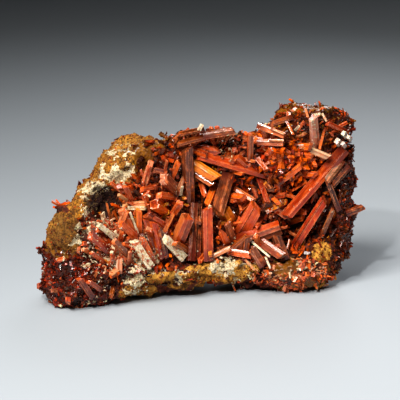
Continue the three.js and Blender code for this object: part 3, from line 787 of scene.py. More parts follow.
rock_skin = (rock_corners, rock_faces)
FAN = [(-21, 27, 13, 13, 1), (-16, 38, 8, 6, 1), (-26, 18, 10, 7, 0.9), (-12, 22, 6, 8, 0.8)]
FOOT = [(-41, 4, 14, 12, 1), (-30, 8, 10, 10, 0.6)]
BRIGHT = [(27, 44, 7, 6, 1), (30, 47, 8, 4, 0.9), (22, 46, 5, 6, 0.8)]
CHUNKY = [(-16, 44, 8, 5.5, 1), (-5, 49, 8, 4, 0.8), (3, 49, 6, 3, 0.8)]
CROWN = [(35, 58, 14, 7, 1), (22, 56, 8, 4, 0.8)]
FLANK = [(47, 30, 6, 24, 1), (42, 14, 8, 7, 0.6)]
PINK = [(31, 7, 12, 5, 1), (20, 8, 6, 4, 0.6)]
RIDGE = [(5, 55, 16, 4, 1), (-12, 51, 8, 4, 0.8)]
ALL_BEDS = FAN + FOOT + BRIGHT + CHUNKY + CROWN + FLANK + PINK + RIDGE


def place_in(places):
    """A function that thins a bed to its patches on the display side."""
    def share(across, up, height):
        return patches(across, up, places) * on_display_side(height) * off_ochre(across, up)

    return share


def hollow_lining(across, up, height):
    """The hollows and everything on the display side that no other bed covers, but not the lowest
    few millimetres, so that nothing hangs under the arch between the feet."""
    elsewhere = 1 - 0.8 * patches(across, up, ALL_BEDS)
    wanted = np.maximum(in_hollows(across, up), 0.6 * elsewhere) * on_display_side(height)
    return wanted * off_ochre(across, up) * soft_step(up, 4, 8)


def behind(across, up, height):
    """The back and sides: thick in some places, thin in others, and hardly any on the ochre."""
    spots = np.stack([across, up, height], 1)
    thick = 0.12 + 0.88 * soft_step(layered_noise(spots, 9, seed=83), -0.25, 0.2)
    bare = 1 - 0.9 * ochre_cover(across, up, height)
    return (1 - on_display_side(height)) * thick * bare


def on_clay(across, up, height):
    """Where whitish clay crumbs cling."""
    return clay_cover(across, up, height) * on_display_side(height)


def clay_clumps(across, up, height):
    """The same, gathered in clumps a millimetre or two across."""
    spots = np.stack([across, up, height], 1)
    clumps = soft_step(layered_noise(spots, 1.8, seed=77, layers=2), 0, 0.3)
    return on_clay(across, up, height) * clumps


def on_ochre_ground(across, up, height):
    """Where ochre crumbs lie."""
    return ochre_cover(across, up, height) * (1 - clay_cover(across, up, height))


def off_the_ochre(across, up, height):
    """A crust of its own is thin where ochre lies."""
    return 1 - 0.75 * ochre_cover(across, up, height)


def on_dark_rock(across, up, height):
    """The floor of the dark hollow, where the rock itself shows."""
    return patches(across, up, CAVERN) * on_display_side(height)


# Painted shade: between the crystals of a bed the rock is darkened.
shade_under_beds = patches(*face_coordinates(rock_corners)[:2], ALL_BEDS) * display
shade_under_beds *= (1 - rock_values["ochre"]) * (1 - rock_values["clay"])
rock_values["shade"] = np.maximum(rock_values["shade"], 0.9 * shade_under_beds)

# Shares of the tones, for a bed and the crust beside it.
FOOT_TONES = {"deep": 5, "plum": 2, "red": 4, "brown": 2, "mauve": 1, "cream": 0.6, "white": 0.3}
SHOULDER_TONES = {"brick": 4, "orange": 3, "brown": 3, "deep": 3, "rose": 0.5}
CROWN_TONES = {"brick": 4, "rust": 4, "orange": 2, "brown": 3, "deep": 2, "ochre": 3}
FLANK_TONES = {"brown": 2, "deep": 3, "rust": 4, "brick": 4}
PINK_TONES = {"salmon": 4, "rose": 4, "coral": 3, "cream": 0.5, "pale": 2.5}

# name, share of each place, stubs on a square millimetre, (shortest, longest, thinnest, thickest),
# shares of the tones, lean, direction that they are pulled to, coat, and how strongly painted shade
# and a dark mottle darken the stubs
BEDS = [
    ("hollow_lining", hollow_lining, 0.6, (0.8, 3.6, 0.35, 1.1),
     {"brown": 2, "deep": 3, "brick": 4, "dark": 1, "orange": 4, "flame": 2, "amber": 0.5}, 0.75,
     None, 0.1, 0.8),
    ("fan_bed", place_in(FAN), 0.55, (1.6, 5.5, 0.5, 1.5),
     {"orange": 4, "brick": 3, "rose": 2, "pale": 1.5, "deep": 3, "amber": 1, "cream": 1}, 0.6,
     (-0.6, 0.7, 0.1), 0.5, 0.8),
    ("foot_bed", place_in(FOOT), 1.6, (0.6, 1.8, 0.3, 0.85), FOOT_TONES, 0.84, None, 0.4, 1),
    ("bright_bed", place_in(BRIGHT), 0.8, (1.4, 4.2, 0.7, 1.8),
     {"flame": 8, "orange": 4, "brick": 2, "red": 3}, 0.75, None, 0.05, 0.75),
    ("chunky_bed", place_in(CHUNKY), 0.5, (1.4, 4.4, 0.8, 2), SHOULDER_TONES, 0.75, None, 0.2, 1),
    ("crown_bed", place_in(CROWN), 1, (0.9, 3.2, 0.3, 0.95), CROWN_TONES, 0.82, None, 0.1, 1),
    ("flank_bed", place_in(FLANK), 1.2, (0.5, 1.9, 0.25, 0.75), FLANK_TONES, 0.8, None, 0.02, 0.9),
    ("pink_bed", place_in(PINK), 1.6, (0.7, 2.1, 0.3, 0.9), PINK_TONES, 0.84, None, 0.4, 0.1),
    ("ridge_bed", place_in(RIDGE), 0.7, (1, 3.6, 0.5, 1.3),
     {"brown": 4, "rust": 4, "brick": 2, "deep": 2, "orange": 1, "ochre": 2}, 0.8, None, 0.1, 0.9),
    ("back_bed", behind, 0.75, (0.6, 2.3, 0.35, 1.2),
     {"brown": 3, "deep": 3, "brick": 3, "dark": 1, "rust": 2, "orange": 1}, 0.82, None, 0.2, 0.9),
]
CRUMBS = [
    ("clay_crumbs", on_clay, 2.4, (0.15, 0.65, 0.15, 0.45),
     {"cream": 6, "white": 2, "brick": 0.5}, 0.8, None, 0, 0.05),
    ("red_crumbs", on_ochre_ground, 0.35, (0.2, 0.7, 0.2, 0.5),
     {"brick": 3, "deep": 2, "salmon": 2, "rust": 2}, 0.8, None, 0, 0.5),
    ("ochre_crumbs", on_ochre_ground, 1.2, (0.2, 0.6, 0.2, 0.5),
     {"ochre": 8, "amber": 0.4, "rust": 0.8}, 0.8, None, 0, 0.7),
    ("rock_crumbs", on_dark_rock, 2.2, (0.2, 0.9, 0.2, 0.6),
     {"dark": 5, "olive": 3, "brown": 3, "ochre": 1}, 0.6, None, 0, 0.3),
]
BED_SEED = 100
CRUMB_SEED = 150


def beds_on_rock(table, first_seed):
    """The beds of a table by their names, each with a seed of its own."""
    made = {}
    for count, (name, *facts, lean, towards, coat, shade_and_mottle) in enumerate(table):
        made[name] = bed(rock_skin, *facts, lean, first_seed + count, towards, coat, shade_and_mottle)
        print(name, len(made[name]["faces"]) // FACES_PER_STUB)
    return made


rock_beds = beds_on_rock(BEDS, BED_SEED)
crumb_beds = beds_on_rock(CRUMBS, CRUMB_SEED)

# %% The crusts that have solids of their own
# node, stubs on a square millimetre, sizes, tones, how far the skin is drawn in, and how strongly
# painted shade and a dark mottle darken the stubs
CRUSTS = [
    ("druse_left_foot", 1.6, (0.6, 1.7, 0.3, 0.85), FOOT_TONES, 0.5, 1),
    ("druse_top_ridge", 0.8, (0.8, 2.1, 0.4, 1.1),
     {"brown": 4, "rust": 3, "brick": 2, "deep": 2, "orange": 1, "ochre": 1}, 0.55, 1),
    ("druse_shoulder", 0.5, (1.2, 3.4, 0.7, 1.8), SHOULDER_TONES, 0.55, 1),
    ("druse_right_face", 0.6, (1, 3.4, 0.7, 1.6),
     {"flame": 5, "orange": 5, "brick": 3, "red": 3}, 0.55, 0.8),
    ("druse_crown", 0.9, (0.7, 2.1, 0.3, 0.9), CROWN_TONES, 0.1, 1),
    ("druse_right_flank", 1.2, (0.5, 1.8, 0.25, 0.8), FLANK_TONES, 0.1, 0.9),
    ("druse_lower_right", 1.3, (0.7, 2, 0.3, 0.9), PINK_TONES, 0.4, 0.1),
]
CRUST_VOXEL = 0.62
CRUST_SMOOTHING = 2
CRUST_LEAN = 0.85
CRUST_TONES = 32
CRUST_SEED = 200


def crust(node, per_mm2, size, mixture, sink, shade_and_mottle, seed):
    """The node's solid as a rough skin, drawn in a little, with stubs all over it."""
    rng = np.random.default_rng(seed)
    corners, faces = even_skin(node, CRUST_VOXEL, CRUST_SMOOTHING)
    normals = corner_normals(corners, faces)
    rough = 0.35 * layered_noise(corners, 1.6, seed) - sink
    corners = into_box(corners + normals * rough[:, None])
    own = grains(corners, 1.5, seed)[1]
    # Painted shade on the skin between the stubs: its tones are darkened, more in the shaded places, and its
    # low tip value shades it in the material.
    palette = tones_of(mixture, CRUST_TONES, rng) * 0.6
    pick = (own * (CRUST_TONES - 0.1)).astype(int)
    tone = palette[pick] * (1 - 0.8 * painted_shade_and_mottle(corners)[:, None])
    ochre = 0.85 * ochre_cover(*face_coordinates(corners))[:, None]
    tone = tone * (1 - ochre) + paint(TONES["ochre"]) * ochre * (0.4 + own[:, None])
    base = {
        "corners": corners,
        "faces": faces,
        "tone": tone,
        "tip": np.full(len(corners), 0.35),
        "coat": np.full(len(corners), 0.1),
    }
    stubs_on_it = bed(
        (corners, faces), off_the_ochre, per_mm2, size, mixture, CRUST_LEAN, seed, None, 0.3, shade_and_mottle
    )
    return joined([base, stubs_on_it])


crusts = {}
for count, (node, *facts) in enumerate(CRUSTS):
    crusts[node] = crust(node, *facts, CRUST_SEED + count)
    print(node, len(crusts[node]["faces"]), "triangles")


# %% [markdown]
# ## The large prisms
# Each large prism has a place on the face, a size, an end and two tones: a lit one for the sides
# that face up and to the left, towards the main light, and a shaded one for the others, which is
# painted light and shade. Prisms that cross are one piece, as they are one solid in the frame.

# %% The table of prisms
# name, root and tip (across, up, above), width, thickness, roll, end, lit tone, shaded tone, coat
PRISMS = [
    ("long_diagonal", (45.5, 48.6, -1.5), (26.8, 27.3, 5), 4, 3.2, -4, "broken", "brick", "red", 0.12),
    (*GAUGE, "red", "deep", 0.2),
    ("brown_rail", (20, 32.2, -1.5), (28, 26.5, 4.5), 3.4, 2.8, 10, "slant", "rose", "umber", 0.25),
    ("lower_beam", (10.8, 18.4, -1.5), (24.6, 23.2, 6), 4.4, 4, 42, "flat", "brick", "umber", 0.1),
    ("lower_beam_foot", (8, 14.6, -1.5), (14, 20, 4), 2.6, 2.2, 20, "broken", "rust", "brown", 0.2),
    ("dark_slat", (16.6, 19.7, -0.5), (25.3, 13.8, 5), 3.2, 2, 14, "slant", "deep", "dark", 0.05),
    ("brown_stub", (26.2, 12.4, -1.5), (23.1, 20.8, 3.5), 3, 2.6, 25, "slant", "brown", "dark", 0.15),
    ("wide_bar", (11.8, 21.2, -1.2), (16.6, 29.8, 5), 5, 3, 8, "slant", "orange", "brick", 0.1),
    ("amber_block", (8.8, 24.8, -1.2), (6.4, 29, 3), 3.4, 3, 30, "flat", "amber", "amber", 0),
    ("central_bar", (1.1, 12.4, -1.8), (0.8, 28.8, 7), 3.2, 3, 14, "broken", "coral", "brick", 0.15),
    ("big_brown_bar", (7.4, 40.6, -1.5), (3.9, 28.4, 5), 4.6, 3.6, -18, "slant", "mauve", "umber", 0.12),
    ("amber_bar", (-5, 44.5, 0), (3.9, 38.9, 7), 3.2, 2.6, 28, "slant", "amber", "orange", 0.05),
    ("pale_bar", (-4.6, 41.6, -0.5), (2.6, 36.9, 5.5), 1.9, 1.8, 20, "slant", "rose", "umber", 0.2),
    ("long_orange_bar", (20.6, 40.1, -1.5), (-1.6, 46.2, 2.5), 3.3, 2.6, 10, "slant", "orange", "brick", 0.1),
    ("post", (-4.9, 28, -1.5), (-5.6, 48, 3.5), 3.2, 3.2, 38, "broken", "umber", "brown", 0.1),
    ("dark_column", (-4.4, 12.4, -1.5), (-3.4, 31, 3), 2.6, 2.4, 20, "flat", "plum", "dark", 0.1),
    ("dark_column_right", (-1.9, 12.8, -1.5), (-1.4, 30.4, 2.4), 2, 2, -25, "slant", "dark", "dark", 0.1),
    ("hopper_crystal", (-9, 17.8, -1.5), (-5.4, 26.6, 8), 4, 3.8, 40, "hollow", "rose", "brick", 0.2),
    ("coated_stub", (-6.8, 13.4, -1.5), (-12.2, 19.4, 4), 2.9, 2.4, 10, "broken", "rose", "orange", 1),
    ("brown_stub_left", (-5.2, 15.4, -1.2), (-9.4, 18.2, 4.5), 2, 2, 30, "slant", "orange", "rust", 0.3),
    ("fan_bar", (-13.7, 13.4, -1.5), (-16.2, 24.8, 4.5), 2.3, 2.2, 32, "slant", "orange", "red", 0.25),
    ("fan_bar_thin", (-16.2, 16.2, -1.2), (-18.7, 25.8, 3.5), 1.9, 1.8, 10, "slant", "brick", "deep", 0.2),
    ("fan_pink", (-22.1, 20.7, -1.2), (-26.2, 28.8, 4.5), 2.6, 2.2, -20, "flat", "pale", "rose", 0.4),
    ("fan_upright", (-21, 21, -1.2), (-20.8, 28.8, 3.5), 1.9, 1.8, 15, "slant", "amber", "flame", 0.2),
    ("pale_block", (-23.2, 30.6, -1), (-18.7, 30.8, 3.4), 2, 1.8, 10, "flat", "pale", "rose", 0.4),
    ("fan_orange", (-21.4, 19.4, -1.2), (-26.3, 24.2, 3.6), 2.4, 2, 18, "broken", "flame", "orange", 0.2),
    ("white_bar", (-28.6, 20.1, -1), (-33.4, 24.2, 3.4), 1.8, 1.6, 8, "flat", "white", "cream", 1),
    ("pink_block", (-31.1, 16.2, -1.4), (-35.6, 20.8, 3.6), 2.9, 2.6, 24, "broken", "salmon", "red", 0.3),
    ("pink_stub", (-24.1, 14.6, -1.4), (-28.3, 18.8, 3.6), 2.5, 2.3, -16, "broken", "pale", "mauve", 0.4),
    ("cream_bar", (-17.1, 10.6, -1.4), (-22.3, 18.8, 3.8), 2.6, 2.4, 14, "slant", "rose", "orange", 0.9),
    ("crossing_red", (-13.6, 36.7, -1.2), (-19.8, 35.4, 3.6), 1.9, 1.8, 12, "slant", "orange", "brick", 0.15),
    ("striped_stub", (-9, 32.7, -1.4), (-14.3, 33.6, 4.4), 2.3, 2.2, 16, "slant", "rose", "orange", 0.4),
    ("hollow_block", (-12, 28.4, -1.4), (-15.8, 30.8, 4.8), 3.6, 3.4, 44, "hollow", "rose", "flame", 0.2),
    ("two_tone_block", (-9.2, 34.8, -1.5), (-12.6, 38.6, 4), 3.8, 3.2, 36, "broken", "pale", "mauve", 0.5),
    ("cream_topped_block", (-17, 30, -1.2), (-18.8, 34.6, 3.6), 2.8, 2.6, 20, "flat", "rose", "orange", 0.5),
    ("dark_plate", (-13.1, 24, -1.5), (-18.2, 27.4, 3), 3, 1.6, 10, "slant", "brick", "deep", 0.1),
    ("ridge_bar", (-0.4, 54.4, -1.2), (-8.4, 52.7, 2.4), 1.7, 1.7, 15, "slant", "brown", "brown", 0.15),
    ("ridge_bar_lower", (0, 52, -1.4), (-8.3, 49.7, 3), 2.1, 1.9, 20, "slant", "rust", "brown", 0.1),
    ("pointed_block", (-2.6, 48.4, -1.4), (5.4, 47.4, 4.5), 3, 2.6, 20, "pointed", "brick", "deep", 0.1),
    ("ridge_plate", (-0.4, 52.6, -1.4), (8.8, 54, 3), 2.6, 1.8, 12, "broken", "umber", "brown", 0.1),
    ("upright_brown", (14.7, 43.4, -1.2), (14.7, 52.8, 3), 1.8, 1.6, 20, "slant", "orange", "rust", 0.1),
    ("striped_lath", (17, 50.8, -1.2), (25.3, 50.3, 3.4), 2, 1.8, 14, "flat", "rose", "brick", 0.3),
    ("white_lath", (17, 56, -1.2), (25.6, 52.7, 3.8), 2, 1.7, 8, "flat", "rose", "umber", 0.25),
    ("pink_nub", (13.6, 43, -1.2), (10.2, 46, 3), 2.6, 2.4, 30, "slant", "rose", "orange", 0.3),
    ("crusted_bar", (23.3, 37, -1.2), (31.3, 43.2, 3.6), 2, 1.9, 12, "slant", "flame", "orange", 0.1),
    ("white_streaked_bar", (17.5, 39.2, -1.2), (20.3, 31.2, 4.6), 1.8, 1.7, -10, "slant", "red",
     "deep", 0.45),
    ("pale_splinter", (9.1, 36, -1.2), (15.8, 31.8, 4.6), 1.8, 1.6, -16, "slant", "rose", "mauve", 0.35),
    ("pale_upright", (36.2, 48.4, -1.4), (34.9, 57.9, 4.6), 2.7, 2.4, 38, "broken", "white", "pale", 0.6),
    ("pale_crossing", (29.8, 50.3, -1.2), (40.3, 45.8, 2.6), 2.1, 1.8, 12, "slant", "cream", "umber", 0.3),
    ("crown_red", (46, 54.2, -1.4), (39.7, 56.7, 3.4), 1.6, 1.5, 18, "slant", "red", "brick", 0.1),
    ("crown_shoulder", (28.2, 58.6, -5.5), (21.8, 56.4, -1), 1.9, 1.8, 14, "slant", "rust", "brown", 0.2),
    ("olive_bar", (45, 44.6, -1.6), (39.5, 37.9, 3.2), 2.4, 2, 25, "slant", "olive", "dark", 0.3),
    ("olive_bar_behind", (47, 43, -2), (41.5, 36.8, 1.2), 2.2, 2, -12, "slant", "dark", "dark", 0.05),
    ("flank_needle", (38.3, 20, -3.2), (41.8, 28.9, 2.6), 1.4, 1.3, 20, "slant", "rose", "brown", 0.5),
    ("red_tooth", (28.2, 24.8, -1.2), (32.4, 26.2, 3), 1.8, 1.7, 20, "slant", "flame", "orange", 0.1),
    ("amber_brace", (3.6, 37.2, -0.8), (0.8, 30.2, 5.2), 2.2, 1.9, 25, "slant", "flame", "brick", 0.1),
    ("orange_wedge", (7.3, 17.4, -1.2), (5.2, 22.4, 3.6), 2.2, 1.8, 20, "pointed", "flame", "orange", 0.1),
    ("glinting_stub", (9.7, 19.2, -1.2), (7.5, 24.3, 4.2), 2.4, 2, -22, "broken", "rose", "mauve", 0.4),
    ("purple_brown_bar", (12.7, 12.4, -1.4), (13.6, 19.6, 3.6), 2.2, 2, 36, "slant", "brown", "plum", 0.1),
    ("rust_block", (18.8, 10.6, -1.4), (15.4, 15.9, 3.6), 2.8, 2.4, 16, "broken", "brown", "dark", 0.2),
    ("foot_crystal", (-35.6, 1.2, -1.2), (-39.2, 7.2, 3), 2, 1.8, 20, "slant", "brick", "deep", 0.1),
]

CLUSTERS = {
    "post_cluster": [
        "post", "dark_column", "hopper_crystal", "amber_bar", "long_orange_bar", "coated_stub",
        "brown_stub_left", "fan_bar", "fan_bar_thin", "dark_plate", "pointed_block",
        "upright_brown", "pink_nub", "white_streaked_bar",
    ],
    "lower_beam_cluster": [
        "lower_beam", "dark_slat", "brown_stub", "wide_bar", "pale_splinter", "glinting_stub",
    ],
    "long_diagonal_cluster": ["long_diagonal", "brown_rail", "olive_bar"],
    "big_brown_bar_cluster": ["big_brown_bar", "central_bar", "amber_brace", "amber_block"],
    "two_tone_block_cluster": [
        "two_tone_block", "hollow_block", "striped_stub", "crossing_red", "cream_topped_block",
        "pale_block",
    ],
    "fan_pink_cluster": ["fan_pink", "fan_upright", "fan_orange"],
    "ridge_plate_cluster": ["ridge_plate", "ridge_bar", "ridge_bar_lower"],
    "lower_beam_foot_cluster": ["lower_beam_foot", "purple_brown_bar"],
}

# %% A prism with its tones
# The side that the main light falls on: sides facing it get the lit tone, a painted light.
LIT_SIDE = unit(np.array([-0.55, 0.75, 0.35])) @ np.array([ACROSS, UP, OUT])


def prism_between(start, end, width, thickness, roll, ending, lit_tone, shaded_tone, coat, seed, points):
    """A prism with its tones, painted light and shade. A side's tone goes from the shaded to the lit one
    with the cosine between the way it faces and the lit side."""
    made = prism(start, end, width, thickness, roll, ending, seed, points)
    rng = np.random.default_rng(seed)
    cosine = made.pop("facing") @ LIT_SIDE
    share = soft_step(cosine + 0.3 * (made["stripe"] - 0.5), -0.2, 0.6)[:, None]
    tone = share * paint(TONES[lit_tone]) + (1 - share) * paint(TONES[shaded_tone])
    striped = rng.uniform(0.03, 0.26)
    tone = tone * rng.normal(1, 0.06, (1, 3)) * (0.78 - striped * (0.5 - made["stripe"][:, None]))
    made["corners"] = into_box(made["corners"])
    made["tone"] = np.clip(tone, 0, 0.95)
    made["coat"] = np.full(len(tone), float(coat))
    return made


def prisms_of(table, first_seed, points=SECTION_POINTS):
    """The prisms of a table by their names, their roots and tips given on the face."""
    return {
        name: prism_between(
            on_face(root) + SHIFT, on_face(tip) + SHIFT, *facts, first_seed + count, points
        )
        for count, (name, root, tip, *facts) in enumerate(table)
    }


PRISM_SEED = 300
grown = prisms_of(PRISMS, PRISM_SEED)
print("prisms:", len(grown), "triangles:", sum(len(made["faces"]) for made in grown.values()))

# %% [markdown]
# ## Splinters
# Between the large prisms lie thin ones and broken pieces, too small for solids of their own.
# They are made by the same function and joined in two pieces.

# %% The table of splinters
# The columns are those of the table of prisms. A flake isn't rolled and is white all over.
FLAKE = (0, "broken", "white", "cream", 1)
SPLINTERS = [
    ("fan_bar_twin", (-12.2, 13.6, -1.4), (-14.3, 22.6, 4.2), 1.6, 1.5, 24, "broken", "deep", "dark", 0.3),
    ("small_upright", (21.2, 42.4, -1.2), (21.2, 48.2, 3.4), 1.6, 1.4, 15, "slant", "orange", "brick", 0.1),
    ("small_slanting", (16.2, 46.6, -1), (20.1, 41.7, 3.6), 1.7, 1.5, 12, "slant", "salmon", "brick", 0.2),
    ("red_nub", (21.6, 33, -1.2), (26.3, 33.7, 3.2), 1.7, 1.5, 12, "slant", "brick", "deep", 0.1),
    ("foot_orange", (-33.1, 3.6, -1.2), (-36.3, 6.3, 2.8), 1.6, 1.5, 20, "slant", "orange", "brick", 0.1),
    ("pale_lintel", (-27.4, 29.6, -0.8), (-18.8, 29.4, 4), 1.3, 1.2, 10, "flat", "cream", "pale", 0.8),
    ("beige_lath", (1.1, 13.2, -1.2), (8.3, 16.6, 4), 1.5, 1.3, 10, "slant", "pale", "rose", 0.5),
    ("pink_splinter", (-22.7, 30.6, -1.2), (-25.2, 36.2, 3), 1.7, 1.5, 18, "slant", "rose", "brick", 0.3),
    ("cream_bar_pink", (-16.2, 12.6, -1.2), (-19.9, 20, 3), 1.7, 1.6, 14, "slant", "rose", "orange", 0.3),
    ("amber_wedge", (-1.4, 38.6, -0.8), (0.4, 32.6, 4.4), 1.8, 1.6, 20, "pointed", "orange", "brick", 0),
    ("flank_splinter", (43.8, 28.6, -1.4), (40.3, 37.2, 2.6), 1.8, 1.6, 10, "slant", "dark", "dark", 0.1),
    ("white_thin", (13.8, 19.8, 1), (21, 13.7, 5), 0.7, 0.6, *FLAKE),
    ("white_thin_lower", (19.8, 13.5, 1), (21, 10.3, 4.5), 0.7, 0.6, *FLAKE),
    ("fan_white", (-21.2, 21.5, 0.5), (-23.5, 28, 5), 0.7, 0.6, *FLAKE),
    ("left_flake", (-7.6, 33.5, 1), (-7.1, 36.2, 5.6), 0.9, 0.5, *FLAKE),
    ("crown_thin", (39.2, 55.5, -1), (37.2, 48.5, 3.5), 0.9, 0.8, 10, "slant", "flame", "red", 0.1),
    ("crown_stick", (26.5, 57.5, -1), (28.5, 53, 3), 0.9, 0.8, 10, "slant", "orange", "brick", 0.1),
    ("crown_stick_upper", (32.3, 63, -2), (33.2, 58.5, 2), 0.8, 0.7, 10, "slant", "rose", "brick", 0.2),
    ("crown_tip", (38, 60, -1), (39.5, 57.3, 2.5), 0.7, 0.7, 10, "flat", "pale", "rose", 0.8),
    ("crown_flake", (34.8, 59.4, 0), (37.2, 59.7, 3.2), 0.8, 0.5, 0, "flat", "white", "cream", 1),
    ("face_pale", (33.2, 43.5, -1), (35, 46.8, 3), 1, 0.9, 10, "slant", "pale", "rose", 0.4),
    ("ledge_thin", (26.5, 14, -1), (27.8, 19, 3), 0.7, 0.6, 10, "slant", "rose", "brown", 0.2),
    ("pale_needle", (6.5, 21, 0), (4, 23.5, 5.5), 0.5, 0.5, 10, "flat", "pale", "rose", 0.4),
    ("ledge_needle", (12.5, 13.5, -1), (16, 9.5, 3.5), 0.7, 0.6, 10, "slant", "pale", "rose", 0.3),
    ("lath_end", (20.5, 51.2, 2.4), (25.4, 51.1, 4.6), 0.7, 0.5, 0, "flat", "pale", "rose", 0.4),
    ("lath_end_upper", (21.2, 54.9, 2.6), (25.3, 53.2, 5), 0.7, 0.5, 0, "flat", "pale", "salmon", 0.3),
    ("upright_streak", (35.9, 50.4, 1.4), (34.5, 57.6, 6.4), 0.8, 0.5, *FLAKE),
    ("block_streak", (-19, 34.6, 3), (-17.2, 33, 4.8), 0.6, 0.5, *FLAKE),
    ("bright_spot", (1.4, 28.6, 6), (1.8, 30.2, 7.6), 1, 0.8, 0, "flat", "white", "cream", 1),
    ("cream_tip", (-2, 54, -0.5), (-0.9, 55.7, 1.6), 1.3, 1.1, 10, "broken", "cream", "pale", 1),
    ("right_spike", (46.5, 27.6, -2.5), (51.9, 29.7, -0.8), 2.1, 1.7, 26, "broken", "brown", "dark", 0.05),
    ("red_knob", (9.3, 46.8, 0), (9.7, 48, 3.4), 1.9, 1.8, 20, "broken", "red", "deep", 0),
    # Painted glints: four small white flat-ended pieces standing for flashes of reflected light on the
    # crystals.
    ("mirror_large", (43.9, 50.1, -0.4), (43, 51.2, 3), 2.1, 1.7, 10, "flat", "white", "white", 0),
    ("mirror_small", (45.7, 49.2, -0.4), (44.8, 50.3, 3), 1.4, 1.2, 10, "flat", "white", "white", 0),
    ("mirror_upper", (45.9, 52.6, -0.4), (45, 53.7, 2.8), 1.7, 1.4, 14, "flat", "white", "white", 0),
    ("mirror_right", (47.5, 51.4, -0.8), (46.6, 52.5, 2.6), 1.3, 1.2, 14, "flat", "white", "white", 0),
    ("crown_glint", (29.3, 54.6, 0), (30.4, 55.8, 3), 0.8, 0.6, 0, "flat", "white", "pale", 1),
]

# Where more of them stand: name, patches, number on a square millimetre, shortest and longest,
# width as a share of the length, direction that they lean to, tones and coat.
GROVES = [
    ("fan", FAN, 0.25, (2.5, 9), (0.12, 0.27), (-0.5, 0.8, 0.2),
     [("orange", "red"), ("brick", "deep"), ("rose", "brick"), ("pale", "brick"),
      ("flame", "brick"), ("pale", "rose")], 0.45),
    ("centre", [(9, 28, 20, 16, 1), (33, 29, 8, 12, 0.8)], 0.06, (3, 8), (0.14, 0.4), None,
     [("brick", "deep"), ("orange", "brick"), ("brown", "dark"), ("rust", "brown"),
      ("flame", "orange"), ("amber", "orange"), ("flame", "brick")], 0.2),
    ("top", [(6, 49, 16, 6, 1), (-10, 48, 8, 5, 1)], 0.09, (2.5, 7), (0.16, 0.4), None,
     [("orange", "brick"), ("brick", "deep"), ("rose", "brick"), ("rust", "brown")], 0.25),
    ("crown", [(34, 56, 13, 8, 1)], 0.12, (2, 6), (0.12, 0.32), None,
     [("orange", "brick"), ("brick", "deep"), ("rust", "brown"), ("pale", "rose")], 0.2),
    ("bright", BRIGHT, 0.14, (2, 6), (0.2, 0.45), None,
     [("flame", "orange"), ("flame", "brick"), ("orange", "red")], 0.05),
    ("left", [(-31, 16, 13, 9, 1)], 0.12, (2, 5.5), (0.2, 0.5), (-0.4, 0.6, 0),
     [("rose", "red"), ("pale", "brick"), ("orange", "deep"), ("cream", "rose")], 0.8),
    ("foot", [(-40, 4, 12, 9, 1)], 0.05, (2, 5), (0.3, 0.5), None,
     [("brick", "deep"), ("rust", "brown"), ("red", "plum")], 0.4),
    ("pink", PINK, 0.12, (1.6, 4), (0.25, 0.5), None,
     [("rose", "brick"), ("red", "deep"), ("salmon", "red"), ("pale", "coral")], 0.3),
    ("glints", [(-20, 24, 22, 20, 1), (10, 35, 22, 22, 1), (-38, 6, 14, 10, 0.7),
                (30, 48, 16, 12, 1)], 0.05, (0.8, 2.4), (0.1, 0.22), (-0.75, 0.9, 2.8),
     [("white", "pale"), ("pale", "rose")], 0),
]

# A rough rim of the display side, as places across and up, that no grove's prism stands past.
GROVE_RIM = [(-55, 12), (-35, 45), (-25, 52.5), (-10, 52.5), (-5, 56), (20, 56.5), (28, 62.5),
             (46, 62.5), (49, 50)]
# The widest prism of a grove and how deep its root stands, in millimetres.
GROVE_WIDEST = 2.4
GROVE_ROOT = 0.6


def grove(name, places, per_mm2, reach, share, towards, tones, coat, seed):
    """Rows for prism_between, rooted at random places on the rock's skin: each leans between the
    skin's normal and a direction along the skin, or to the grove's own direction. Those that would
    stand out past the rim are left out."""
    rng = np.random.default_rng(seed)
    wanted = place_in(places)(*face_coordinates(rock_corners[rock_faces].mean(1)))
    roots, normals = sprinkle(rock_corners, rock_faces, per_mm2 * wanted, rng)
    level = unit(np.cross(normals, rng.normal(size=normals.shape)))
    axes = 0.45 * normals + 0.75 * level
    if towards is not None:
        axes += 1.2 * np.array(towards) @ np.array([ACROSS, UP, OUT])
    axes = unit(unit(axes) + 0.25 * normals)
    rim = np.array(GROVE_RIM).T
    rows = []
    for place, axis in zip(roots, axes):
        long = reach[0] + (reach[1] - reach[0]) * rng.random() ** 1.4
        over, high = (float(v[0]) for v in face_coordinates((place + long * axis)[None])[:2])
        bare = patches(np.array([over]), np.array([high]), BARE)[0]
        if high > np.interp(over, *rim) or bare > 0.3:
            continue
        wide = long * rng.uniform(*share)
        # A lit and a shaded tone, painted light and shade on the prism's sides.
        lit_tone, shaded_tone = tones[rng.integers(len(tones))]
        ending = ("slant", "broken", "flat", "slant")[rng.integers(4)]
        wide = min(wide, GROVE_WIDEST)
        thick = wide * rng.uniform(0.7, 1)
        roll = rng.uniform(-40, 40)
        root = place - GROVE_ROOT * axis
        tip = place + long * axis
        rows.append((root, tip, wide, thick, roll, ending, lit_tone, shaded_tone, coat * rng.random() ** 1.5))
    print("grove", name, len(rows))
    return rows


# Blocks under the bars that lie along the ridge, so that they rest on something.
PROPPED = ("ridge_bar", "ridge_plate", "white_lath", "striped_lath")
PROP_PLACES = (0.3, 0.62, 0.94)


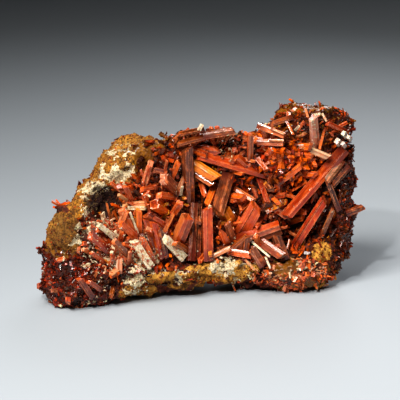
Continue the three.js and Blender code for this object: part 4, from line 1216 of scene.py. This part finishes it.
def props():
    """Rows like a grove's: three short blocks under each bar, from the rock up to its underside.
    They lean aside by a wave of their place, so that no two are alike, and get thinner along it."""
    rows = []
    for name, root, tip, *_ in PRISMS:
        for share in PROP_PLACES if name in PROPPED else ():
            x, y, level = (a + share * (b - a) for a, b in zip(root, tip))
            aside = 1.6 * math.sin(9 * x)
            start = on_face((x + aside, y - 2.8, -2.2)) + SHIFT
            end = on_face((x - 0.4 * aside, y - 0.2, level - 0.6)) + SHIFT
            # Lit and shaded tones, painted light and shade.
            tones = ("brick", "deep") if share < 0.5 else ("rust", "brown")
            rows.append((start, end, 2.7 - share, 2.4 - share, 60 * share, "broken", *tones, 0.2))
    return rows


SPLINTER_POINTS = 22
SPLINTER_SEED = 500
GROVE_SEED = 70
GROVE_PRISM_SEED = 600

grove_rows = props()
for count, facts in enumerate(GROVES):
    grove_rows += grove(*facts, GROVE_SEED + count)
table_splinters = list(prisms_of(SPLINTERS, SPLINTER_SEED, SPLINTER_POINTS).values())
grove_prisms = [
    prism_between(*row, GROVE_PRISM_SEED + count, SPLINTER_POINTS)
    for count, row in enumerate(grove_rows)
]
# Two pieces, so that neither has too many triangles.
half = len(grove_prisms) // 2
splinters = joined(table_splinters + grove_prisms[:half])
more_splinters = joined(grove_prisms[half:])
print("splinters:", len(SPLINTERS) + len(grove_rows), "triangles:", len(splinters["faces"]),
      "and", len(more_splinters["faces"]))


# %% Crumbs of clay on the crystals
crystal_skins = [*grown.values(), splinters, more_splinters]
crystal_skins += [rock_beds[name] for name in ("hollow_lining", "fan_bed", "foot_bed")]
crystal_skin = joined([{key: skin[key] for key in ("corners", "faces")} for skin in crystal_skins])
crumb_beds["on_crystals"] = bed(
    (crystal_skin["corners"], crystal_skin["faces"]), clay_clumps, 1.6, (0.15, 0.6, 0.15, 0.4),
    {"cream": 6, "white": 2, "pale": 1}, 0.8, seed=160, shade_and_mottle=0,
)
print("crumbs on crystals:", len(crumb_beds["on_crystals"]["faces"]) // FACES_PER_STUB)

# %% [markdown]
# ## Finishes
# Four finishes cover the part: prisms, crusts, rock and loose crumbs. They share small node
# groups: streaks that run along a prism, a crumbly cover that sits on it in flecks, and grit that
# roughens everything. The groups put out masks and heights only, and each finish mixes its own
# colours with them. A scanned picture of rock would also do for a texture, but it would repeat
# and not follow each crystal.

# %% Placing and joining nodes
def feed(tree, socket, value):
    """Gives an input a value: a link from a socket, a colour from its code, or a plain number."""
    if isinstance(value, bpy.types.NodeSocket):
        tree.links.new(value, socket)
    elif isinstance(value, str):
        socket.default_value = (*paint(value), 1)
    else:
        socket.default_value = value


def place(tree, kind, settings=None, **inputs):
    """A node of the kind, its settings made and its inputs fed. An input's name is written with
    underscores."""
    node = tree.nodes.new(kind)
    for key, value in (settings or {}).items():
        setattr(node, key, value)
    for key, value in inputs.items():
        feed(tree, node.inputs[key.replace("_", " ")], value)
    return node


def arithmetic(tree, operation, *values):
    """One step of arithmetic on two or three sockets or plain numbers."""
    node = place(tree, "ShaderNodeMath", {"operation": operation})
    for socket, value in zip(node.inputs, values):
        feed(tree, socket, value)
    return node.outputs[0]


def scaled(tree, value, factor):
    """value times factor."""
    return arithmetic(tree, "MULTIPLY", value, factor)


def between(tree, value, low, high, floor=0.0, ceiling=1.0):
    """value brought from low..high to floor..ceiling along a smooth curve."""
    node = place(
        tree, "ShaderNodeMapRange", {"interpolation_type": "SMOOTHSTEP"},
        Value=value, From_Min=low, From_Max=high, To_Min=floor, To_Max=ceiling,
    )
    return node.outputs[0]


# A Mix node's sockets for colours: the share, the two colours and the result.
MIX_INPUTS = (0, 6, 7)
MIX_RESULT = 2


def blended(tree, share, first, second, mode="MIX"):
    """Two colours, the second over the first by share. A plain colour is a tone's code."""
    node = place(tree, "ShaderNodeMix", {"data_type": "RGBA", "blend_type": mode})
    for index, value in zip(MIX_INPUTS, (share, first, second)):
        feed(tree, node.inputs[index], value)
    return node.outputs[MIX_RESULT]


def value_of(tree, name, colour=False):
    """A value that the mesh carries at its corners."""
    node = place(tree, "ShaderNodeAttribute", {"attribute_name": name})
    return node.outputs["Color" if colour else "Fac"]


def group(name, inputs, outputs):
    """An empty node group with named sockets, and its two end nodes."""
    tree = bpy.data.node_groups.new(name, "ShaderNodeTree")
    for title, kind, default in inputs:
        socket = tree.interface.new_socket(title, in_out="INPUT", socket_type=kind)
        if default is not None:
            socket.default_value = default
    for title, kind in outputs:
        tree.interface.new_socket(title, in_out="OUTPUT", socket_type=kind)
    return tree, tree.nodes.new("NodeGroupInput").outputs, tree.nodes.new("NodeGroupOutput").inputs


# %% Streaks along a prism
streaks, given, wanted = group(
    "lengthwise_streaks",
    [("Place", "NodeSocketVector", None), ("Width", "NodeSocketFloat", 0.3),
     ("Length", "NodeSocketFloat", 6.0)],
    [("Mask", "NodeSocketFloat"), ("Height", "NodeSocketFloat")],
)
parts = place(streaks, "ShaderNodeSeparateXYZ", Vector=given["Place"]).outputs
stretched = place(
    streaks, "ShaderNodeCombineXYZ",
    X=arithmetic(streaks, "DIVIDE", parts["X"], given["Width"]),
    Y=arithmetic(streaks, "DIVIDE", parts["Y"], given["Length"]),
).outputs[0]
fibres = place(streaks, "ShaderNodeTexNoise", Vector=stretched, Scale=1.0, Detail=3.0)
streaks.links.new(between(streaks, fibres.outputs["Fac"], 0.42, 0.68), wanted["Mask"])
streaks.links.new(fibres.outputs["Fac"], wanted["Height"])

# %% A crumbly cover and grit
cover, given, wanted = group(
    "crumbly_cover",
    [("Place", "NodeSocketVector", None), ("Amount", "NodeSocketFloat", 0.5),
     ("Size", "NodeSocketFloat", 1.0)],
    [("Mask", "NodeSocketFloat"), ("Height", "NodeSocketFloat")],
)
scale = arithmetic(cover, "DIVIDE", 1 / MM, given["Size"])
crumbs = place(cover, "ShaderNodeTexNoise", Vector=given["Place"], Scale=scale, Detail=5.0,
               Roughness=0.65).outputs["Fac"]
limit = arithmetic(cover, "MULTIPLY_ADD", given["Amount"], -0.45, 0.85)
above = arithmetic(cover, "SUBTRACT", crumbs, limit)
cover.links.new(between(cover, above, -0.03, 0.05), wanted["Mask"])
cover.links.new(between(cover, above, -0.03, 0.12), wanted["Height"])

grit, given, wanted = group(
    "grit",
    [("Place", "NodeSocketVector", None), ("Size", "NodeSocketFloat", 0.5)],
    [("Fine", "NodeSocketFloat"), ("Broad", "NodeSocketFloat")],
)
scale = arithmetic(grit, "DIVIDE", 1 / MM, given["Size"])
fine = place(grit, "ShaderNodeTexNoise", Vector=given["Place"], Scale=scale, Detail=6.0,
             Roughness=0.7)
broad = place(grit, "ShaderNodeTexNoise", Vector=given["Place"],
              Scale=scaled(grit, scale, 0.15), Detail=3.0)
grit.links.new(fine.outputs["Fac"], wanted["Fine"])
grit.links.new(broad.outputs["Fac"], wanted["Broad"])


def use(tree, shared, **inputs):
    """A shared group placed in a material."""
    return place(tree, "ShaderNodeGroup", {"node_tree": shared}, **inputs).outputs


# %% The start of each finish
def new_finish(name, ior):
    """A material with a Principled shader, and the Object coordinates that its patterns read."""
    material = bpy.data.materials.new(name)
    material.use_nodes = True
    tree = material.node_tree
    tree.nodes.clear()
    shader = place(tree, "ShaderNodeBsdfPrincipled", IOR=ior, Specular_IOR_Level=0.35)
    place(tree, "ShaderNodeOutputMaterial", Surface=shader.outputs[0])
    spot = place(tree, "ShaderNodeTexCoord").outputs["Object"]
    return material, tree, shader.inputs, spot


def link_bump(tree, shader, height, strength, distance):
    """Height as a bump on the shader's normal. distance is in millimetres."""
    bump = place(tree, "ShaderNodeBump", Strength=strength, Distance=distance * MM, Height=height)
    tree.links.new(bump.outputs[0], shader["Normal"])


def link_roughness(tree, shader, grain, smoothest, roughest, flecks, on_flecks):
    """Roughness from smoothest to roughest with a grain, and on_flecks where flecks cling."""
    rough = between(tree, grain, 0.38, 0.68, smoothest, roughest)
    rough = arithmetic(tree, "MAXIMUM", rough, scaled(tree, flecks, on_flecks))
    tree.links.new(rough, shader["Roughness"])


# %% [markdown]
# ### Crocoite
# The prisms are orange-red and let a little light in. Their sides are finely grooved along their
# length, so one side holds pale and dark streaks together; the pale streaks are painted highlights
# of the grooves. Edges carry a painted highlight and ends are paler; the roots are darker, partly
# dirt and partly painted shade, and a cream crust clings here and there. Orange clouds are partly a
# painted glow of light through the crystal, and a pale frost carries a painted sheen. The streaks
# follow the prism's own measure round and along it, which its UV map carries in millimetres.

# %% Crocoite
crocoite, tree, shader, spot = new_finish("crocoite_prisms", 1.6)
shader["Specular IOR Level"].default_value = 0.5
along = place(tree, "ShaderNodeUVMap", {"uv_map": "along"}).outputs[0]
fine_streaks_and_highlights = use(tree, streaks, Place=along, Width=0.3, Length=9.0)
broad_streaks = use(tree, streaks, Place=along, Width=0.8, Length=14.0)
veils = use(tree, streaks, Place=along, Width=1.3, Length=3.6)
specks = use(tree, grit, Place=spot, Size=0.9)
clouds = use(tree, grit, Place=spot, Size=3.5)
colour = value_of(tree, "tone", True)
# Brown clouds, and orange ones between them: the crystal's own colour and also a painted glow of light
# passing through it.
brown_clouds = between(tree, clouds["Fine"], 0.5, 0.66, 0.0, 0.45)
colour = blended(tree, brown_clouds, colour, "A06444", "MULTIPLY")
orange_glow_clouds = between(tree, clouds["Fine"], 0.46, 0.32, 0.0, 0.45)
colour = blended(tree, orange_glow_clouds, colour, "F07416")
# A thin pale frost, speckled, which also paints a pinkish sheen.
frost_and_sheen = between(tree, clouds["Broad"], 0.5, 0.64, 0.0, 0.2)
speckled = between(tree, specks["Fine"], 0.35, 0.6, 0.4, 1.0)
frost_and_sheen = arithmetic(tree, "MULTIPLY", frost_and_sheen, speckled)
colour = blended(tree, frost_and_sheen, colour, "E6A088")
# Short veils, red where they are dense and orange where they are thin.
colour = blended(tree, scaled(tree, veils["Mask"], 0.45), colour, "C0543A", "MULTIPLY")
thin_veils = between(tree, veils["Height"], 0.46, 0.34, 0.0, 0.35)
colour = blended(tree, thin_veils, colour, "EC6C22")
# Fine light streaks, painted highlights of the grooves, and broad dark ones.
colour = blended(tree, scaled(tree, fine_streaks_and_highlights["Mask"], 0.4), colour, "B25E3E", "SCREEN")
colour = blended(tree, scaled(tree, broad_streaks["Mask"], 0.14), colour, "B46E4C", "MULTIPLY")
# Painted highlights along the edges, paler ends, and darker roots, partly dirt and partly painted shade.
edge_highlight = between(tree, specks["Fine"], 0.4, 0.6)
edge_highlight = arithmetic(tree, "MULTIPLY", value_of(tree, "edge"), edge_highlight)
colour = blended(tree, scaled(tree, edge_highlight, 0.5), colour, "F0A070")
colour = blended(tree, scaled(tree, value_of(tree, "end"), 0.1), colour, "E48850")
root_dirt_and_shade = between(tree, value_of(tree, "height"), 0.05, 0.45, 0.75, 0.0)
colour = blended(tree, root_dirt_and_shade, colour, "520F03")
# The cream crust.
crust_flecks = use(tree, cover, Place=spot, Amount=value_of(tree, "coat"), Size=1.6)
coating = blended(tree, between(tree, specks["Fine"], 0.36, 0.56), "BC9A6C", "EEDFC0")
colour = blended(tree, scaled(tree, crust_flecks["Mask"], 0.92), colour, coating)
tree.links.new(colour, shader["Base Color"])
link_roughness(tree, shader, specks["Fine"], 0.09, 0.27, crust_flecks["Mask"], 0.85)
grainy = arithmetic(tree, "ADD", specks["Fine"], 1)
coat_relief = arithmetic(tree, "MULTIPLY", crust_flecks["Height"], grainy)
relief = arithmetic(tree, "MULTIPLY_ADD", coat_relief, 3.0, fine_streaks_and_highlights["Height"])
link_bump(tree, shader, relief, 0.55, 0.12)
shader["Subsurface Weight"].default_value = 0.1
shader["Subsurface Radius"].default_value = (1.0, 0.25, 0.08)
shader["Subsurface Scale"].default_value = 1.2 * MM

# %% The crusts' small crystals
druse, tree, shader, spot = new_finish("crocoite_druse", 1.6)
shader["Specular IOR Level"].default_value = 0.32
specks = use(tree, grit, Place=spot, Size=0.7)
clouds = use(tree, grit, Place=spot, Size=3.0)
tip = value_of(tree, "tip")
colour = value_of(tree, "tone", True)
brown_clouds = between(tree, clouds["Fine"], 0.48, 0.64, 0.0, 0.6)
colour = blended(tree, brown_clouds, colour, "8A5A44", "MULTIPLY")
# Painted shade at the roots and, here and there, pale tips.
colour = blended(tree, between(tree, tip, 0.0, 0.9, 0.85, 0.0), colour, "2C0A03")
pale_tips = arithmetic(tree, "MULTIPLY", tip, between(tree, specks["Fine"], 0.5, 0.62))
colour = blended(tree, scaled(tree, pale_tips, 0.12), colour, "EE9A60")
crust_flecks = use(tree, cover, Place=spot, Amount=value_of(tree, "coat"), Size=2.2)
colour = blended(tree, scaled(tree, crust_flecks["Mask"], 0.9), colour, "DCCBA6")
tree.links.new(colour, shader["Base Color"])
link_roughness(tree, shader, specks["Fine"], 0.08, 0.4, crust_flecks["Mask"], 0.9)
link_bump(tree, shader, specks["Fine"], 0.35, 0.15)

# %% [markdown]
# ### Gossan
# Iron gives it its colours: yellow ochre, brown and almost black. The mesh carries how much
# ochre, whitish clay and painted shade each spot has, and noise breaks the borders up.

# %% Gossan
gossan, tree, shader, spot = new_finish("gossan_rock", 1.5)
grain = use(tree, grit, Place=spot, Size=0.75)["Fine"]
lumps = use(tree, grit, Place=spot, Size=2.2)["Fine"]
# Brown rock: nearly black to brown, with rusty grains.
brown_rock = blended(tree, between(tree, lumps, 0.35, 0.65), "200C07", "5E2612")
brown_rock = blended(tree, between(tree, grain, 0.5, 0.68), brown_rock, "983C1A")
# Ochre: brown between its grains, browner in lumps, lighter where it is fresh.
ochre_rock = blended(tree, between(tree, grain, 0.36, 0.6), "42260A", "B67C2A")
ochre_rock = blended(tree, between(tree, lumps, 0.5, 0.66, 0.0, 0.8), ochre_rock, "7E4A10")
ochre_rock = blended(tree, scaled(tree, value_of(tree, "fresh"), 0.85), ochre_rock, "D89C42")
clay_rock = blended(tree, between(tree, grain, 0.36, 0.54), "94703E", "E6D4AE")
ochre_share = use(tree, cover, Place=spot, Amount=value_of(tree, "ochre"), Size=2.5)["Mask"]
clay_share = use(tree, cover, Place=spot, Amount=value_of(tree, "clay"), Size=1.8)["Mask"]
red_share = use(tree, cover, Place=spot, Amount=0.42, Size=1.7)["Mask"]
colour = blended(tree, ochre_share, brown_rock, ochre_rock)
colour = blended(tree, clay_share, colour, clay_rock)
colour = blended(tree, scaled(tree, red_share, 0.7), colour, "9A2E14")
# Painted shade: darker in the shaded patches, the pits and between the crystals.
colour = blended(tree, scaled(tree, value_of(tree, "shade"), 0.9), colour, "1C0A06")
tree.links.new(colour, shader["Base Color"])
tree.links.new(between(tree, grain, 0.3, 0.7, 0.95, 0.7), shader["Roughness"])
link_bump(tree, shader, grain, 1.0, 0.5)

# %% Loose crumbs, dull and grainy
crumb, tree, shader, spot = new_finish("gossan_crumbs", 1.5)
grain = use(tree, grit, Place=spot, Size=0.6)["Fine"]
brown_between = between(tree, grain, 0.38, 0.62, 0.55, 0.0)
colour = blended(tree, brown_between, value_of(tree, "tone", True), "4A2A10")
tree.links.new(colour, shader["Base Color"])
tree.links.new(between(tree, grain, 0.3, 0.7, 0.95, 0.75), shader["Roughness"])
link_bump(tree, shader, grain, 0.8, 0.3)
print("finishes:", [material.name for material in (crocoite, druse, gossan, crumb)])

# %% [markdown]
# ## The pieces
# Now the arrays become pieces. Each stands for the solids of its form: the rock skin for the
# rock, a dressed crust for each crust, and a striped prism or cluster for each prism's solid.

# %% Put everything in place
rock = put_in_mesh("gossan_skin", rock_corners, rock_faces, rock_values)
rock.data.shade_smooth()
finish_piece(rock, gossan, ["gossan_matrix"])


def place_stubs(name, made, keys=("tone", "tip", "coat"), material=druse, nodes=()):
    """A piece of stubs with the values that its material reads."""
    values = {key: made[key] for key in keys}
    piece = put_in_mesh(name, made["corners"], made["faces"], values)
    finish_piece(piece, material, nodes)


for name, made in rock_beds.items():
    place_stubs(name, made)
place_stubs("loose_crumbs", joined(list(crumb_beds.values())), ["tone"], crumb)
for node, made in crusts.items():
    place_stubs(node + "_crystals", made, nodes=[node])


def place_prisms(name, made, nodes=()):
    """A piece of crocoite prisms."""
    values = {key: made[key] for key in ("tone", "coat", "edge", "end", "height")}
    piece = put_in_mesh(name, made["corners"], made["faces"], values, made["uv"])
    finish_piece(piece, crocoite, nodes)


in_clusters = {member for members in CLUSTERS.values() for member in members}
for cluster, members in CLUSTERS.items():
    made = joined([grown[member] for member in members])
    place_prisms(cluster.replace("_cluster", "_group"), made, [cluster])
for name, made in grown.items():
    if name not in in_clusters:
        place_prisms(name + "_prism", made, ["crystal_" + name])
place_prisms("splinters", splinters)
place_prisms("more_splinters", more_splinters)

# %% [markdown]
# ## Studio
# The specimen stands on a pale sheet that sweeps up behind it. A large soft light stands high on
# the left, a small one makes the crystals glint, and weaker ones hang overhead, on the right and
# behind, where the last keeps the back from going black. Sheet and lights are not part of it.

# %% The pale sweep
FLOOR_FRONT = -1500.0
FLOOR_BACK = 700.0
SWEEP_RADIUS = 500.0
SWEEP_HALF_WIDTH = 2200.0
SWEEP_STEPS = 24
SHEET_TOP = 1800.0


def sweep_sheet():
    """A profile, flat, then a quarter circle, then upright, carried from left to right."""
    turn = np.linspace(0, math.pi / 2, SWEEP_STEPS)
    flat = np.array([[FLOOR_FRONT, 0], [FLOOR_BACK, 0]])
    curve = np.c_[FLOOR_BACK + SWEEP_RADIUS * np.sin(turn), SWEEP_RADIUS * (1 - np.cos(turn))]
    top = np.array([[FLOOR_BACK + SWEEP_RADIUS, SWEEP_RADIUS + SHEET_TOP]])
    profile = np.vstack([flat, curve[1:], top])
    left = np.c_[np.full(len(profile), -SWEEP_HALF_WIDTH), profile]
    right = left * np.array([-1, 1, 1])
    k = np.arange(len(profile) - 1)
    n = len(profile)
    lower = np.stack([k, k + n, k + n + 1], 1)
    upper = np.stack([k, k + n + 1, k + 1], 1)
    return np.vstack([left, right]), np.vstack([lower, upper])


sheet_material, tree, shader, spot = new_finish("pale_paper", 1.4)
mottle = use(tree, grit, Place=spot, Size=40.0)["Broad"]
tree.links.new(blended(tree, mottle, "AAB1B7", "B1B7BD"), shader["Base Color"])
shader["Roughness"].default_value = 0.6
sweep = put_in_mesh("paper_sweep", *sweep_sheet())
sweep.data.shade_smooth()
sweep.data.materials.append(sheet_material)
sweep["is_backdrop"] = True

# %% Lights and camera
def soft_light(name, spot, aim, width, height, watts, colour, spread):
    """A rectangular area light at spot, in millimetres, shining towards aim within spread."""
    light = bpy.data.lights.new(name, "AREA")
    light.shape = "RECTANGLE"
    light.size, light.size_y = width * MM, height * MM
    light.energy = watts
    light.color = colour
    light.spread = math.radians(spread)
    lamp = bpy.data.objects.new(name, light)
    direction = Vector(aim) - Vector(spot)
    turn = direction.to_track_quat("-Z", "Y").to_matrix().to_4x4()
    lamp.matrix_world = Matrix.Translation(Vector(spot) * MM) @ turn
    bpy.context.scene.collection.objects.link(lamp)


# name, place and aim in millimetres, width, height, watts, colour, spread in degrees
soft_light("key_left", (-370, -430, 640), (40, -100, 0), 420, 360, 1.62, (1, 0.97, 0.92), 75)
soft_light("glint", (-260, -520, 420), (0, 0, 30), 34, 34, 0.28, (1, 0.98, 0.95), 60)
soft_light("overhead", (0, -40, 620), (0, -80, 0), 300, 200, 0.15, (1, 0.98, 0.95), 90)
soft_light("fill_right", (560, -420, 240), (0, 0, 30), 300, 300, 0.05, (0.94, 0.97, 1), 90)
soft_light("behind", (330, 520, 330), (0, 0, 30), 420, 320, 0.24, (0.95, 0.97, 1), 70)

world = bpy.data.worlds.new("studio_air")
world.use_nodes = True
air = world.node_tree.nodes["Background"].inputs
air["Color"].default_value = (0.32, 0.34, 0.37, 1)
air["Strength"].default_value = 0.048
bpy.context.scene.world = world
bpy.context.scene.view_settings.view_transform = "Standard"
bpy.context.scene.view_settings.look = "Medium High Contrast"

LENS = 200.0
SENSOR = 36.0
VIEW_WIDTH = 128.0
AIM_ACROSS = -1.45
AIM_UP = 32
camera_data = bpy.data.cameras.new("camera")
camera_data.lens = LENS
camera_data.sensor_width = SENSOR
camera_data.clip_end = 20
aim = AIM_ACROSS * ACROSS + AIM_UP * UP + FACE_OUT * OUT + SHIFT
distance = VIEW_WIDTH * LENS / SENSOR
axes = Matrix((ACROSS, UP, OUT)).transposed().to_4x4()
camera = bpy.data.objects.new("camera", camera_data)
camera.matrix_world = Matrix.Translation(Vector((aim + OUT * distance) * MM)) @ axes
bpy.context.scene.collection.objects.link(camera)
bpy.context.scene.camera = camera
